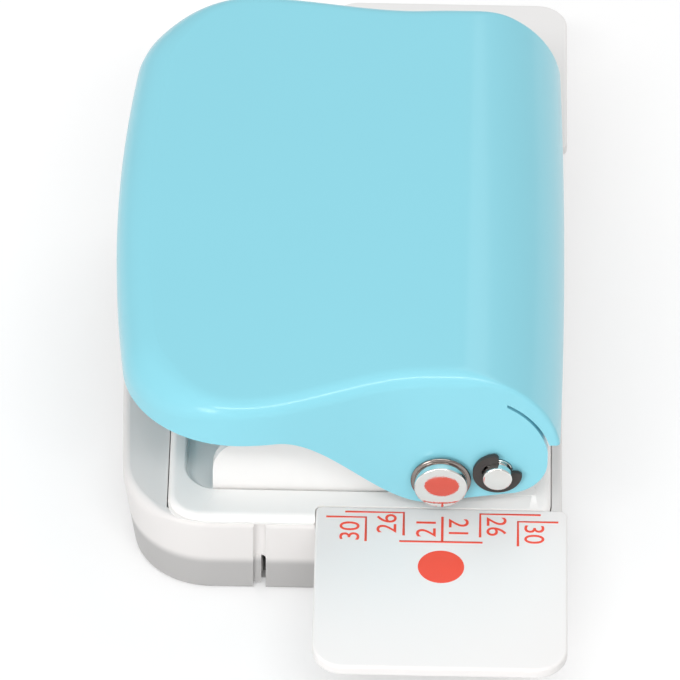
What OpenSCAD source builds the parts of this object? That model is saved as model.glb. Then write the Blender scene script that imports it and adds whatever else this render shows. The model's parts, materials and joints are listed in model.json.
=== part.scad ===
// Six-hole loose-leaf paper punch with a broad sheet-metal lever, a lift-off chip tray
// and two plug-in paper guides. Millimetres, +Z up, standing on Z = 0.
// The handle points to -X, paper goes in from +X, and the row of holes runs along Y.

/* [Base] */
// Distance from the tail of the frame to the tray's edge on the handle side
front_d = 11.7; // [10.5:0.1:13]
// Length of the tray beyond the outermost hole's centre, at each end of the row
base_end = 11.4; // [11:0.1:12.6]
// Height of the chip tray
tray_h = 10.8; // [10:0.1:12]
// Wall of the chip tray
tray_wall = 1.3; // [1.1:0.1:1.4]
// Floor of the chip tray
tray_floor = 1.2; // [0.8:0.1:1.6]
// How far the tray's handle side leans out from bottom to rim
tray_lean = 1.7; // [0.8:0.1:2]
// How far the tray's other sides lean out from bottom to rim
end_lean = 0.15; // [0.1:0.05:0.3]
// Rounding of the tray's lower edge
tray_edge = 0.5; // [0.4:0.1:0.8]
// Plan radius of the tray's corners on the handle side
handle_corner_r = 11; // [9:0.5:12]
// Plan radius of the shallow bow along the tray's handle side
tray_bow_r = 560; // [300:10:900]
// Plan radius of the tray's corners on the paper side
paper_corner_r = 4; // [3:0.5:6]
// Width of the closed shelf along the handle side
shelf_d = 6.4; // [5.5:0.1:7]
// Distance of the latch notches from the middle of the tray, towards the handle
notch_back = 9.3; // [6:0.1:11]
// Width of the latch notches
notch_w = 1.5; // [1.2:0.1:2]
// Height of the latch notches
notch_h = 5.3; // [4.5:0.1:6]

/* [Deck] */
// Thickness of the deck that the paper lies on
deck_t = 1; // [0.8:0.1:1.2]
// Wall of the skirt under the deck
skirt_t = 1.2; // [1:0.1:1.4]
// Depth of the skirt under the deck
skirt_h = 6; // [5:0.1:6.4]
// Plan radius of the deck's corners
deck_corner_r = 3.5; // [2.5:0.5:4]
// Space between the deck and the tray's rim on the paper side
deck_back_gap = 0.6; // [0.4:0.1:0.8]
// Width of the deck along the handle side
deck_front_w = 2.1; // [1.8:0.1:3]

/* [Punching] */
// Distance between holes
hole_pitch = 9.5; // [9.2:0.1:9.6]
// Diameter of the punched holes
hole_d = 5.5; // [5:0.1:5.8]
// Distance from the row of holes to the tray's edge on the paper side
hole_to_edge = 14.4; // [13.8:0.1:15]
// Distance from the row of holes to the paper stop
paper_margin = 6.5; // [6:0.1:7]
// Height of the throat that takes the paper
throat_h = 0.8; // [0.6:0.1:0.9]
// Thickness of the die plate
die_t = 1.4; // [1.2:0.1:1.6]
// Sheet thickness of the frame
frame_t = 1.2; // [1:0.1:1.4]
// Length of the frame beyond the outermost hole's centre, at each end of the row
frame_end = 5.85; // [5.5:0.05:6.2]
// Thickness of the lower guide plate
guide_t = 1; // [0.8:0.1:1.1]
// Thickness of the upper guide plate
upper_guide_t = 1.2; // [1:0.1:1.4]
// Height of the upper guide plate's underside above the paper
upper_guide_rise = 9.6; // [9.4:0.1:10]
// Length of the frame from the paper stop towards the handle
frame_tail = 20.9; // [18:0.1:22]
// Height of the frame's tail above the paper
frame_tail_h = 7.7; // [6:0.1:8]
// Length of the return springs
spring_l = 4.8; // [4.4:0.1:5.2]
// Wire of the return springs
spring_wire = 0.55; // [0.5:0.05:0.6]
// Turns of each return spring
spring_turns = 3.5; // [3:0.5:4]

/* [Pins] */
// Diameter of the pivot pin
pivot_d = 3.5; // [3:0.1:3.8]
// Land between the ring on the press bar and the clip on the pivot pin
pin_land = 0.3; // [0.2:0.05:0.5]
// Height of the pivot above the paper
pivot_rise = 7.35; // [7:0.05:7.8]
// Diameter of the press bar's round ends
stud_d = 6.3; // [6:0.1:6.4]
// Height of the press bar's axis above the paper
stud_rise = 5.9; // [5.8:0.05:6.1]
// Distance of the press bar's axis from the row of holes, towards the handle
stud_back = 0.2; // [0:0.05:0.3]
// Diameter of the press bar between its round ends
bar_d = 2.8; // [2.4:0.1:3]
// How far the rings stand out round the press bar
ring_lip = 0.45; // [0.4:0.05:0.5]
// How far the clips stand out round the pivot pin
clip_lip = 1.2; // [1:0.05:1.25]
// Length of the spacers between the frame and the lever's cheeks
spacer_l = 2.7; // [2.4:0.1:3]
// How far the pins stand out of the lever's cheeks
pin_proud = 1.95; // [1.6:0.05:2.4]

/* [Lever] */
// Sheet thickness of the lever
lever_t = 1.2; // [1:0.1:1.3]
// Height of the lever's top above the paper
lever_rise = 22.2; // [21.6:0.1:23]
// How far the handle stands over the tray's edge
lever_overhang = 0.6; // [0.2:0.1:1.2]
// How much lower the handle is than the top
handle_drop = 2; // [1.5:0.1:3]
// How much wider the handle is than the cheeks, on each side
handle_flare = 4; // [3:0.05:4.4]
// Plan radius of the handle's corners
handle_r = 14.5; // [12:0.5:18]
// How far the handle's front edge bows out
handle_bow = 1.1; // [0:0.1:1.4]
// Depth of the skirt round the handle
handle_skirt = 6; // [4.8:0.1:6.4]
// Radius of the rolled back of the lever
roll_r = 12.7; // [12.4:0.1:13]
// Space between the frame's end and the inside of the rolled back
back_gap = 2.1; // [1.8:0.1:2.4]
// Angle above the horizontal at which the rolled back ends
roll_end = 9; // [5:1:14]
// Angle above the horizontal at which the slit beside each cheek starts
slit_start = 56; // [45:1:60]
// Width of the slit between each cheek and the rolled back
slit_w = 0.4; // [0.3:0.05:0.5]
// Height of the cheeks' lower edge above the paper
cheek_rise = 1.9; // [1.8:0.05:2.2]
// Radius of the cheeks' rounded end
cheek_r = 5.1; // [4.8:0.1:5.2]

/* [Paper guides] */
// Width of each paper guide
wing_w = 30; // [28:0.5:30]
// Length of each paper guide
wing_l = 27.1; // [22:0.1:32]
// Thickness of each paper guide
wing_t = 1.5; // [1.3:0.1:1.6]
// Plan radius of the guides' outer corners
wing_r = 3.8; // [2:0.1:6]
// Plan radius of the guides' inner corners
wing_inner_r = 1.3; // [0.8:0.1:2]
// Width of the tongue that plugs into the deck
tongue_w = 20; // [16:0.5:21]
// Thickness of the tongue
tongue_t = 1.4; // [1.2:0.1:1.5]
// How far each guide lies over the tray
wing_lap = 2.45; // [2.2:0.05:2.6]

/* [Fits] */
// Radial clearance of running fits
run_c = 0.06; // [0.04:0.01:0.08]
// Clearance between pieces that slide or lift past each other
slide_c = 0.2; // [0.15:0.05:0.25]
// Clearance of pieces that only locate each other
seat_c = 0.1; // [0.08:0.01:0.12]

/* [Hidden] */
$fn = 64;

// Sheet-thin slice used as the end of a hull
slice = 0.01;
// Extra length of a cut past the faces it goes through
over = 1;
// Steps of an outline's round corner and of its long curves
corner_steps = 8;
curve_steps = 24;

// Levels
deck_z = tray_h + deck_t;
web_z = deck_z - die_t - frame_t;
die_z = deck_z - die_t;
throat_z = deck_z + throat_h;
upper_guide_z = deck_z + upper_guide_rise;
spring_z = upper_guide_z + upper_guide_t;
skirt_z = tray_h - skirt_h;

// Places along X
// How far the skirt stands back from the edge of the deck
skirt_inset = 0.25;
base_d = hole_to_edge + paper_margin + frame_tail + front_d;
hole_x = base_d / 2 - hole_to_edge;
stop_x = hole_x - paper_margin;
frame_x = stop_x - frame_tail;
deck_x0 = -base_d / 2 + shelf_d;
deck_x1 = base_d / 2 - tray_wall - deck_back_gap;
skirt_x0 = deck_x0 + skirt_inset;
skirt_x1 = deck_x1 - skirt_inset;
web_x1 = skirt_x1 - skirt_t - slide_c;
notch_x = -notch_back;

// The press bar and the pivot, whose ring and clip lie side by side
ring_d = stud_d + 2 * ring_lip;
clip_d = pivot_d + 2 * clip_lip;
stud_drop = pivot_rise - stud_rise;
pin_distance = (ring_d + clip_d) / 2 + pin_land;
pin_dx = sqrt(pow(pin_distance, 2) - pow(stud_drop, 2));
stud_x = hole_x - stud_back;
stud_z = deck_z + stud_rise;
pivot_x = stud_x + pin_dx;
pivot_z = deck_z + pivot_rise;

// Places along Y
hole_count = 6;
row_l = (hole_count - 1) * hole_pitch;
hole_ys = span(-row_l / 2, row_l / 2, hole_count - 1);
ends = [-1, 1];
// Space between the frame and the deck around it
frame_c = 0.3;
spacer_c = 0.15;
base_w = row_l + 2 * base_end;
frame_y = row_l / 2 + frame_end;
frame_in_y = frame_y - frame_t;
deck_y = base_w / 2 - seat_c;
opening_y = frame_y + frame_c;
skirt_y = base_w / 2 - end_lean - tray_wall - seat_c;
cheek_in_y = frame_y + spacer_l + spacer_c;
cheek_y = cheek_in_y + lever_t;
wing_y = base_w / 2 - wing_lap;
tongue_y = frame_y + 2 * frame_c;

// Levels of the paper guides
wing_z = deck_z - wing_t;
tongue_z = wing_z - tongue_t;
ledge_z = tongue_z - slide_c;
ledge_t = 1.5;

// The parts that hold the frame up
pad_w = 6;
pad_t = 2;
pad_l = 5;
pad_in_y = frame_in_y - pad_l;
pad_xs = [frame_x + pad_w, hole_x + pad_w];
screw_d = 2.5;
screw_head_d = 4.5;
screw_head_h = 1.3;
screw_y = frame_in_y - screw_head_d / 2;
guide_screw_x = stop_x - paper_margin / 2;
guide_screw_ys = [for (y = hole_pitch * [1, 2.5]) each [-y, y]];
// Length of the guide screws' ends below the frame
screw_tail = 0.6;

// The punch pins and what acts on them
pin_tip = 0.05;
pin_z0 = throat_z + pin_tip;
clip_t = 0.6;
pin_clip_z = spring_z + spring_l;
pin_head = 0.8;
pin_z1 = pin_clip_z + clip_t + pin_head;
pin_groove_d = hole_d - 2 * clip_t;
pin_clip_gap = 1.5;
pin_clip_d = hole_pitch - pin_clip_gap;
pin_clip_mouth = 0.6 * pin_groove_d;
pin_notch_r = 4;
pin_notch_depth = 0.3;
// The lever's travel, how far the press bar goes down with it and how far it sways towards the paper
travel = 11;
stroke = pin_dx * sin(travel) - stud_drop * (1 - cos(travel));
bar_sway = pin_dx * (1 - cos(travel)) + stud_drop * sin(travel);
bar_x0 = stud_x - bar_d / 2 - slide_c;
bar_x1 = stud_x + bar_d / 2 + bar_sway + slide_c;
guide_half = 5.5;

// Tabs that hold the guide plates in the frame's cheeks
tab_half = 2.5;
lower_tab_x = hole_x + 2.6;
lower_tab_w = 2.2;

// The pins' ends
groove_depth = 0.45;
groove_gap = 0.2;
stud_y = frame_y + 2 * frame_c;
stud_end_y = cheek_y + pin_proud;
ring_t = 0.5;
pin_chamfer = 0.4;
// Angles above the horizontal between which the pivot's clips are open
clip_mouth = [8, 84];

// The lever's outline
lever_x0 = -base_d / 2 - lever_overhang;
lever_z = deck_z + lever_rise;
// Radius of the frame's rounded end round the pivot, which the rolled back clears
frame_end_r = 4.2;
roll_x = pivot_x + frame_end_r + back_gap + lever_t - roll_r;
roll_z = lever_z - roll_r;
// Where the top stops falling, where the sides spread and where their lower edge sweeps down
flare_start = 3;
sweep_start = 19.8;
sweep_end = 2;
drop_x = lever_x0 + handle_r;
flare_x0 = hole_x - flare_start;
flare_x1 = lever_x0 + handle_bow + handle_r;
sweep_x0 = hole_x - sweep_start;
sweep_x1 = hole_x - sweep_end;
handle_z = lever_z - handle_drop - handle_skirt;
cheek_z = deck_z + cheek_rise;
// Centre of the cheeks' rounded end, which lies past the pivot and above it
cheek_end_past = 0.8;
cheek_end_up = 1.25;
cheek_end_x = pivot_x + cheek_end_past;
cheek_end_z = pivot_z + cheek_end_up;
// Angle at which the cheek's rounded end runs into its straight lower edge
cheek_tangent = -75;
handle_y = cheek_y + handle_flare;

function smooth_step(t) = let (u = min(max(t, 0), 1)) u * u * (3 - 2 * u);
function span(a, b, n) = [for (i = [0 : n]) a + (b - a) * i / n];
function arc(c, r, a0, a1, n) = [for (a = span(a0, a1, n)) c + r * [cos(a), sin(a)]];

// Points of a rectangle whose corners at x0 have radius r0 and those at x1 have radius r1
function rounded_points(x0, x1, y, r0, r1) = concat(
    arc([x0 + r0, -y + r0], r0, 180, 270, corner_steps),
    arc([x1 - r1, -y + r1], r1, 270, 360, corner_steps),
    arc([x1 - r1, y - r1], r1, 0, 90, corner_steps),
    arc([x0 + r0, y - r0], r0, 90, 180, corner_steps));

// Points of the tray seen from above at height z, grown by the given distance. The handle side is a shallow
// arc that the round corners run into.
function tray_points(z, grow) = let (
        fall = 1 - z / tray_h,
        end_in = end_lean * fall - grow,
        front_in = tray_lean * fall - grow,
        r0 = handle_corner_r - front_in,
        r1 = paper_corner_r - end_in,
        x1 = base_d / 2 - end_in,
        y = base_w / 2 - end_in,
        bow_x = tray_bow_r - base_d / 2,
        bow_r = tray_bow_r - front_in,
        turn = asin((y - r0) / (bow_r - r0)),
        bow_turn = turn * (1 - 2 / corner_steps),
        corner_x = bow_x - (bow_r - r0) * cos(turn))
    concat(
        arc([corner_x, -y + r0], r0, 180 + turn, 270, corner_steps),
        arc([x1 - r1, -y + r1], r1, 270, 360, corner_steps),
        arc([x1 - r1, y - r1], r1, 0, 90, corner_steps),
        arc([corner_x, y - r0], r0, 90, 180 - turn, corner_steps),
        arc([bow_x, 0], bow_r, 180 - bow_turn, 180 + bow_turn, corner_steps - 2));

// Points of one paper guide seen from above, inner edge at y0 and outer edge at y1
function wing_points(x, half, y0, y1, r0, r1) = concat(
    arc([x - half + r0, y0 + r0], r0, 180, 270, corner_steps),
    arc([x + half - r0, y0 + r0], r0, 270, 360, corner_steps),
    arc([x + half - r1, y1 - r1], r1, 0, 90, corner_steps),
    arc([x - half + r1, y1 - r1], r1, 90, 180, corner_steps));

// The lever's half width and top height at x
function lever_half(x) = cheek_y + handle_flare * smooth_step((flare_x0 - x) / (flare_x0 - flare_x1));
function lever_top(x) = lever_z - handle_drop * smooth_step((roll_x - x) / (roll_x - drop_x));
function handle_front(y) = lever_x0 + handle_bow * pow(y / (handle_y - handle_r), 2);

module box(x0, x1, y0, y1, z0, z1) {
    translate([x0, y0, z0]) cube([x1 - x0, y1 - y0, z1 - z0]);
}

// A box and its mirror image at the other end of the row
module end_boxes(x0, x1, y0, y1, z0, z1) {
    box(x0, x1, y0, y1, z0, z1);
    box(x0, x1, -y1, -y0, z0, z1);
}

// A disc or shaft along Y from y0 to y1
module rod(x, z, d, y0, y1) {
    translate([x, y1, z]) rotate([90, 0, 0]) cylinder(d = d, h = y1 - y0);
}

// An outline in X and Z, drawn out along Y from y0 to y1
module side_plate(points, y0, y1) {
    translate([0, y1, 0]) rotate([90, 0, 0]) linear_extrude(y1 - y0) polygon(points);
}

module tray_slice(z, grow) {
    translate([0, 0, z]) linear_extrude(slice) polygon(tray_points(z, grow));
}

module tray_bowl() {
    difference() {
        hull() {
            tray_slice(0, -tray_edge);
            tray_slice(tray_edge, 0);
            tray_slice(tray_h - slice, 0);
        }
        hull() {
            tray_slice(tray_floor, -tray_wall - tray_edge);
            tray_slice(tray_floor + tray_edge, -tray_wall);
            tray_slice(tray_h + over, -tray_wall);
        }
    }
}

module tray_shelf() {
    shelf_in = tray_wall / 2;
    shelf_gap = 0.3;
    intersection() {
        translate([0, 0, tray_h - tray_floor]) linear_extrude(tray_floor)
            polygon(tray_points(tray_h, -shelf_in));
        box(-base_d, deck_x0 - shelf_gap, -base_w, base_w, 0, tray_h + over);
    }
}

module chip_tray() color([0.86, 0.86, 0.85, 0.7]) {
    groove_r = notch_w / 2;
    difference() {
        union() {
            tray_bowl();
            tray_shelf();
        }
        end_boxes(notch_x - notch_w / 2, notch_x + notch_w / 2,
            base_w / 2 - tray_wall - tray_edge - end_lean, base_w, -over, notch_h);
        for (e = ends)
            translate([notch_x, e * (base_w / 2 + groove_r / 3), notch_h]) cylinder(r = groove_r, h = tray_h);
        end_boxes(hole_x - wing_w / 2 - slide_c, base_d, wing_y - slide_c, base_w,
            wing_z - slide_c, tray_h + over);
        end_boxes(hole_x - tongue_w / 2 - slide_c, hole_x + tongue_w / 2 + slide_c,
            wing_y - slide_c, base_w, ledge_z, tray_h + over);
    }
}

// The deck's outer edge, drawn in by the given distance and kept within the tray's rim
module deck_outline(in) {
    r = deck_corner_r - in;
    intersection() {
        polygon(rounded_points(deck_x0 + in, deck_x1 - in, deck_y - in, r, r));
        polygon(tray_points(tray_h, -seat_c - in));
    }
}

module deck_plate() {
    edge = deck_t / 2;
    back_r = 1;
    difference() {
        hull() {
            translate([0, 0, tray_h]) linear_extrude(deck_t - edge) deck_outline(0);
            translate([0, 0, deck_z - slice]) linear_extrude(slice) deck_outline(edge);
        }
        translate([0, 0, tray_h - over]) linear_extrude(deck_t + 2 * over)
            polygon(rounded_points(deck_x0 + deck_front_w, deck_x1 - skirt_t, opening_y,
                deck_corner_r, back_r));
    }
}

// The skirt's outer face, drawn in by the given distance and kept clear of the tray's round corners
module skirt_outline(in) {
    intersection() {
        translate([skirt_x0 + in, -skirt_y + in])
            square([skirt_x1 - skirt_x0 - 2 * in, 2 * (skirt_y - in)]);
        polygon(tray_points(skirt_z, -tray_wall - slide_c - in));
    }
}

module deck_skirt() {
    translate([0, 0, skirt_z]) linear_extrude(skirt_h) difference() {
        skirt_outline(0);
        skirt_outline(skirt_t);
    }
}

module deck() color([0.96, 0.96, 0.955]) {
    inner_y = skirt_y - skirt_t / 2;
    latch_z = tray_floor + 2 * slide_c;
    difference() {
        union() {
            deck_plate();
            deck_skirt();
            end_boxes(notch_x - notch_w, notch_x + notch_w / 4, skirt_y - skirt_t, skirt_y - seat_c,
                latch_z, skirt_z + over);
            end_boxes(hole_x - tongue_w / 2 - skirt_t, skirt_x1 - skirt_t / 2, opening_y, inner_y,
                ledge_z - ledge_t, ledge_z);
            for (x = pad_xs)
                end_boxes(x - pad_w / 2, x + pad_w / 2, pad_in_y, opening_y + seat_c, web_z - pad_t, web_z);
            end_boxes(pad_xs[0] - pad_w / 2, pad_xs[0] + pad_w / 2, frame_y, inner_y, web_z - pad_t, web_z);
        }
        end_boxes(hole_x - wing_w / 2 - slide_c, base_d, wing_y - slide_c, base_w,
            wing_z - slide_c, deck_z + over);
        end_boxes(hole_x - tongue_w / 2 - slide_c, hole_x + tongue_w / 2 + slide_c, opening_y, base_w,
            ledge_z, wing_z + slide_c);
        for (x = pad_xs, e = ends)
            translate([x, e * screw_y, 0]) cylinder(d = screw_d + 2 * seat_c, h = deck_z);
    }
}

// The frame's cheeks seen from the side: they rise over the upper guide and slope down to the tail
frame_top_rise = 2;
frame_corner_r = 5;
frame_slope_start = 6;
frame_tail_flat = 12;
frame_top_z = upper_guide_z + upper_guide_t + frame_top_rise;
frame_slope_x0 = hole_x - frame_slope_start;
frame_slope_x1 = frame_x + frame_tail_flat;
function cheek_plate_points() = concat(
    [[frame_x, web_z], [stop_x, web_z], [stop_x, throat_z], [pivot_x, throat_z]],
    arc([pivot_x, pivot_z], frame_end_r, -45, 75, corner_steps),
    [[pivot_x, frame_top_z], [frame_slope_x0, frame_top_z], [frame_slope_x1, deck_z + frame_tail_h]],
    arc([frame_x + frame_corner_r, deck_z + frame_tail_h - frame_corner_r], frame_corner_r, 90, 180,
        corner_steps));

module punch_frame() color([0.95, 0.95, 0.945]) {
    difference() {
        union() {
            box(frame_x, web_x1, -frame_y, frame_y, web_z, die_z);
            side_plate(cheek_plate_points(), frame_in_y, frame_y);
            side_plate(cheek_plate_points(), -frame_y, -frame_in_y);
        }
        for (y = hole_ys)
            translate([hole_x, y, 0]) cylinder(d = hole_d + frame_t, h = deck_z);
        for (x = pad_xs, e = ends)
            translate([x, e * screw_y, 0]) cylinder(d = screw_d + 2 * run_c, h = deck_z);
        for (y = guide_screw_ys)
            translate([guide_screw_x, y, 0]) cylinder(d = screw_d + 2 * run_c, h = deck_z);
        rod(pivot_x, pivot_z, pivot_d + 2 * run_c, -base_w, base_w);
        box(bar_x0, bar_x1, -base_w, base_w,
            stud_z - bar_d / 2 - stroke - slide_c, stud_z + bar_d / 2 + slide_c);
        box(hole_x - tab_half - seat_c, hole_x + tab_half + seat_c, -base_w, base_w,
            upper_guide_z - seat_c, upper_guide_z + upper_guide_t + seat_c);
        box(lower_tab_x - seat_c, lower_tab_x + lower_tab_w + seat_c, -base_w, base_w,
            throat_z - over, throat_z + guide_t + seat_c);
    }
}

module frame_screws() color([0.75, 0.75, 0.76]) {
    for (x = pad_xs, e = ends)
        translate([x, e * screw_y, web_z - pad_t]) {
            cylinder(d = screw_d, h = pad_t + frame_t);
            translate([0, 0, -screw_head_h]) screw_head();
        }
}

// A low round head with a cross slot underneath
module screw_head() {
    slot_w = 0.6;
    slot_depth = 0.6;
    difference() {
        cylinder(d = screw_head_d, h = screw_head_h);
        for (a = [0, 90])
            rotate([0, 0, a]) translate([-screw_head_d / 3, -slot_w / 2, -over])
                cube([screw_head_d / 1.5, slot_w, slot_depth + over]);
    }
}

module die_plate() color([0.7, 0.71, 0.72]) {
    difference() {
        box(stop_x + seat_c, web_x1 - seat_c, -frame_y + slide_c, frame_y - slide_c, die_z, deck_z);
        for (y = hole_ys)
            translate([hole_x, y, 0]) cylinder(d = hole_d + 2 * run_c, h = deck_z + over);
    }
}

module paper_stop() color([0.68, 0.69, 0.7]) {
    difference() {
        box(stop_x - paper_margin, stop_x, -frame_in_y + slide_c, frame_in_y - slide_c, die_z, throat_z);
        for (y = guide_screw_ys)
            translate([guide_screw_x, y, 0]) cylinder(d = screw_d + 2 * seat_c, h = throat_z + over);
    }
}

module lower_guide() color([0.72, 0.73, 0.74]) {
    difference() {
        union() {
            box(stop_x - paper_margin, hole_x + guide_half, -frame_in_y + slide_c, frame_in_y - slide_c,
                throat_z, throat_z + guide_t);
            box(lower_tab_x, lower_tab_x + lower_tab_w, -frame_y, frame_y, throat_z, throat_z + guide_t);
        }
        for (y = hole_ys)
            translate([hole_x, y, 0]) cylinder(d = hole_d + 2 * run_c, h = upper_guide_z);
        for (y = guide_screw_ys)
            translate([guide_screw_x, y, 0]) cylinder(d = screw_d + 2 * seat_c, h = upper_guide_z);
    }
}

module upper_guide() color([0.72, 0.73, 0.74]) {
    difference() {
        union() {
            box(hole_x - guide_half, hole_x + guide_half, -frame_in_y, frame_in_y,
                upper_guide_z, upper_guide_z + upper_guide_t);
            box(hole_x - tab_half, hole_x + tab_half, -frame_y, frame_y,
                upper_guide_z, upper_guide_z + upper_guide_t);
        }
        for (y = hole_ys)
            translate([hole_x, y, 0]) cylinder(d = hole_d + 2 * run_c, h = lever_z);
    }
}

module guide_screws() color([0.75, 0.75, 0.76]) {
    top = throat_z + guide_t;
    for (y = guide_screw_ys)
        translate([guide_screw_x, y, 0]) {
            translate([0, 0, web_z - screw_tail]) cylinder(d = screw_d, h = top - web_z + screw_tail);
            translate([0, 0, top + screw_head_h]) rotate([180, 0, 0]) screw_head();
        }
}

// One return spring as a tube of six sides along a helix
coil_rings = 8;
coil_sides = 6;
coil_end_gap = 0.05;
coil_r = (hole_d + pin_clip_d) / 4;
coil_z0 = spring_z + spring_wire / 2 + coil_end_gap;
coil_rise = spring_l - spring_wire - 2 * coil_end_gap;
coil_count = round(spring_turns * coil_rings);

function coil_point(i) = let (a = 360 * i / coil_rings)
    [coil_r * cos(a), coil_r * sin(a), coil_z0 + coil_rise * i / coil_count];
function coil_ring(i) = let (a = 360 * i / coil_rings, p = coil_point(i))
    [for (k = [0 : coil_sides - 1]) let (b = 360 * k / coil_sides)
        p + spring_wire / 2 * [cos(b) * cos(a), cos(b) * sin(a), sin(b)]];
function ring_faces(i) = [for (k = [0 : coil_sides - 1]) let (
        a = i * coil_sides + k,
        b = i * coil_sides + (k + 1) % coil_sides)
    each [[a, b, a + coil_sides], [b, b + coil_sides, a + coil_sides]]];
function cap_faces(first, turn) = [for (k = [1 : coil_sides - 2])
    turn > 0 ? [first, first + k, first + k + 1] : [first, first + k + 1, first + k]];

// Least gap between neighbouring turns
coil_gap = min([for (i = [0 : coil_count - coil_rings])
    norm(coil_point(i + coil_rings) - coil_point(i))]) - spring_wire;
echo(least_spring_gap_mm = coil_gap);

module return_spring() {
    polyhedron(points = [for (i = [0 : coil_count]) each coil_ring(i)],
        faces = concat([for (i = [0 : coil_count - 1]) each ring_faces(i)],
            cap_faces(0, -1), cap_faces(coil_count * coil_sides, 1)));
}

module return_springs() color([0.62, 0.63, 0.65]) {
    for (y = hole_ys)
        translate([hole_x, y, 0]) return_spring();
}

module punch_pin(i) color([0.78, 0.78, 0.8]) {
    slot_h = bar_d + 2 * seat_c;
    translate([hole_x, hole_ys[i - 1], 0]) difference() {
        translate([0, 0, pin_z0]) cylinder(d = hole_d, h = pin_z1 - pin_z0);
        box(bar_x0 - hole_x, bar_x1 - hole_x, -hole_d, hole_d, stud_z - slot_h / 2, stud_z + slot_h / 2);
        translate([0, 0, pin_clip_z - seat_c / 2]) difference() {
            cylinder(d = hole_d + over, h = clip_t + seat_c);
            cylinder(d = pin_groove_d, h = clip_t + seat_c);
        }
        rod(0, pin_z0 - pin_notch_r + pin_notch_depth, 2 * pin_notch_r, -hole_d, hole_d);
    }
}

module pin_clips() color([0.3, 0.3, 0.31]) {
    for (y = hole_ys)
        translate([hole_x, y, pin_clip_z]) difference() {
            cylinder(d = pin_clip_d, h = clip_t);
            translate([0, 0, -over]) cylinder(d = pin_groove_d + seat_c / 2, h = clip_t + 2 * over);
            translate([0, -pin_clip_mouth / 2, -over]) cube([pin_clip_d, pin_clip_mouth, clip_t + 2 * over]);
        }
}

// The rounded end of a pin along Y, from y0 to y1, with a groove and a chamfered tip, on the end e
module grooved_end(x, z, d, y0, y1, ring_h, e) {
    groove_y = cheek_y + groove_gap;
    translate([x, 0, z]) rotate([-90 * e, 0, 0]) difference() {
        union() {
            translate([0, 0, y0]) cylinder(d = d, h = y1 - pin_chamfer - y0);
            translate([0, 0, y1 - pin_chamfer]) cylinder(d1 = d, d2 = d - 2 * pin_chamfer, h = pin_chamfer);
        }
        translate([0, 0, groove_y]) difference() {
            cylinder(d = d + over, h = ring_h + seat_c / 2);
            translate([0, 0, -over]) cylinder(d = d - 2 * groove_depth, h = ring_h + 2 * over);
        }
    }
}

module press_bar() color([0.82, 0.83, 0.84]) {
    rod(stud_x, stud_z, bar_d, -stud_y - over, stud_y + over);
    for (e = ends)
        grooved_end(stud_x, stud_z, stud_d, stud_y, stud_end_y, ring_t, e);
}

module press_bar_rings() color([0.7, 0.7, 0.71]) {
    ring_y = cheek_y + groove_gap + seat_c / 4;
    bore_d = stud_d - 2 * groove_depth + seat_c / 2;
    for (e = ends)
        translate([stud_x, 0, stud_z]) rotate([-90 * e, 0, 0]) translate([0, 0, ring_y]) difference() {
            cylinder(d = ring_d, h = ring_t);
            translate([0, 0, -over]) cylinder(d = bore_d, h = ring_t + 2 * over);
        }
}

module pivot_pin() color([0.8, 0.81, 0.82]) {
    for (e = ends)
        grooved_end(pivot_x, pivot_z, pivot_d, 0, stud_end_y - seat_c, clip_t, e);
}

// Retaining clips with their mouths open upwards and towards the paper
module pivot_clips() color([0.3, 0.3, 0.3]) {
    clip_y = cheek_y + groove_gap + seat_c / 4;
    bore_d = pivot_d - 2 * groove_depth + seat_c / 2;
    for (e = ends)
        mirror([0, e < 0 ? 0 : 1, 0]) translate([pivot_x, -clip_y, pivot_z]) rotate([90, 0, 0]) difference() {
            cylinder(d = clip_d, h = clip_t);
            translate([0, 0, -over]) cylinder(d = bore_d, h = clip_t + 2 * over);
            translate([0, 0, -over]) linear_extrude(clip_t + 2 * over)
                polygon([[0, 0], clip_d * [cos(clip_mouth[0]), sin(clip_mouth[0])], clip_d * [1, 1],
                    clip_d * [cos(clip_mouth[1]), sin(clip_mouth[1])]]);
        }
}

module pivot_spacers() color([0.9, 0.9, 0.88]) {
    for (e = ends)
        translate([pivot_x, 0, pivot_z]) rotate([-90 * e, 0, 0]) translate([0, 0, frame_y]) difference() {
            cylinder(d = clip_d, h = spacer_l);
            translate([0, 0, -over]) cylinder(d = pivot_d + 2 * run_c, h = cheek_in_y);
        }
}

// The lever seen from above, drawn in by the given distance
function lever_plan_side(in) = concat(
    [for (x = span(base_d / 2, flare_x1, curve_steps)) [x, -lever_half(x) + in]],
    arc([lever_x0 + handle_bow + handle_r, -handle_y + handle_r], handle_r - in, 270, 180, 2 * corner_steps),
    [for (y = span(-handle_y + handle_r, 0, corner_steps)) [handle_front(y) + in, y]]);
function mirrored(points) = [for (i = [len(points) - 1 : -1 : 0]) [points[i].x, -points[i].y]];
function lever_plan(in) = concat(lever_plan_side(in), mirrored(lever_plan_side(in)));

// The space under the lever's top, drawn in by the given distance
function lever_section(in) = concat(
    [[lever_x0 - over, 0], [lever_x0 - over, lever_top(lever_x0) - in]],
    [for (x = span(lever_x0, roll_x, curve_steps)) [x, lever_top(x) - in]],
    arc([roll_x, roll_z], roll_r - in, 88, 0, curve_steps),
    [[roll_x + roll_r - in, 0]]);

// What is left of the lever's walls seen from the side
roll_end_z = roll_z + roll_r * sin(roll_end);
function lever_side() = concat(
    [[lever_x0 - over, handle_z]],
    [for (x = span(sweep_x0, sweep_x1, curve_steps))
        [x, handle_z + (cheek_z - handle_z) * smooth_step((x - sweep_x0) / (sweep_x1 - sweep_x0))]],
    arc([cheek_end_x, cheek_end_z], cheek_r, cheek_tangent, 0, corner_steps),
    [[cheek_end_x + cheek_r, roll_end_z], [base_d, roll_end_z], [base_d, lever_z + over],
     [lever_x0 - over, lever_z + over]]);

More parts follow.
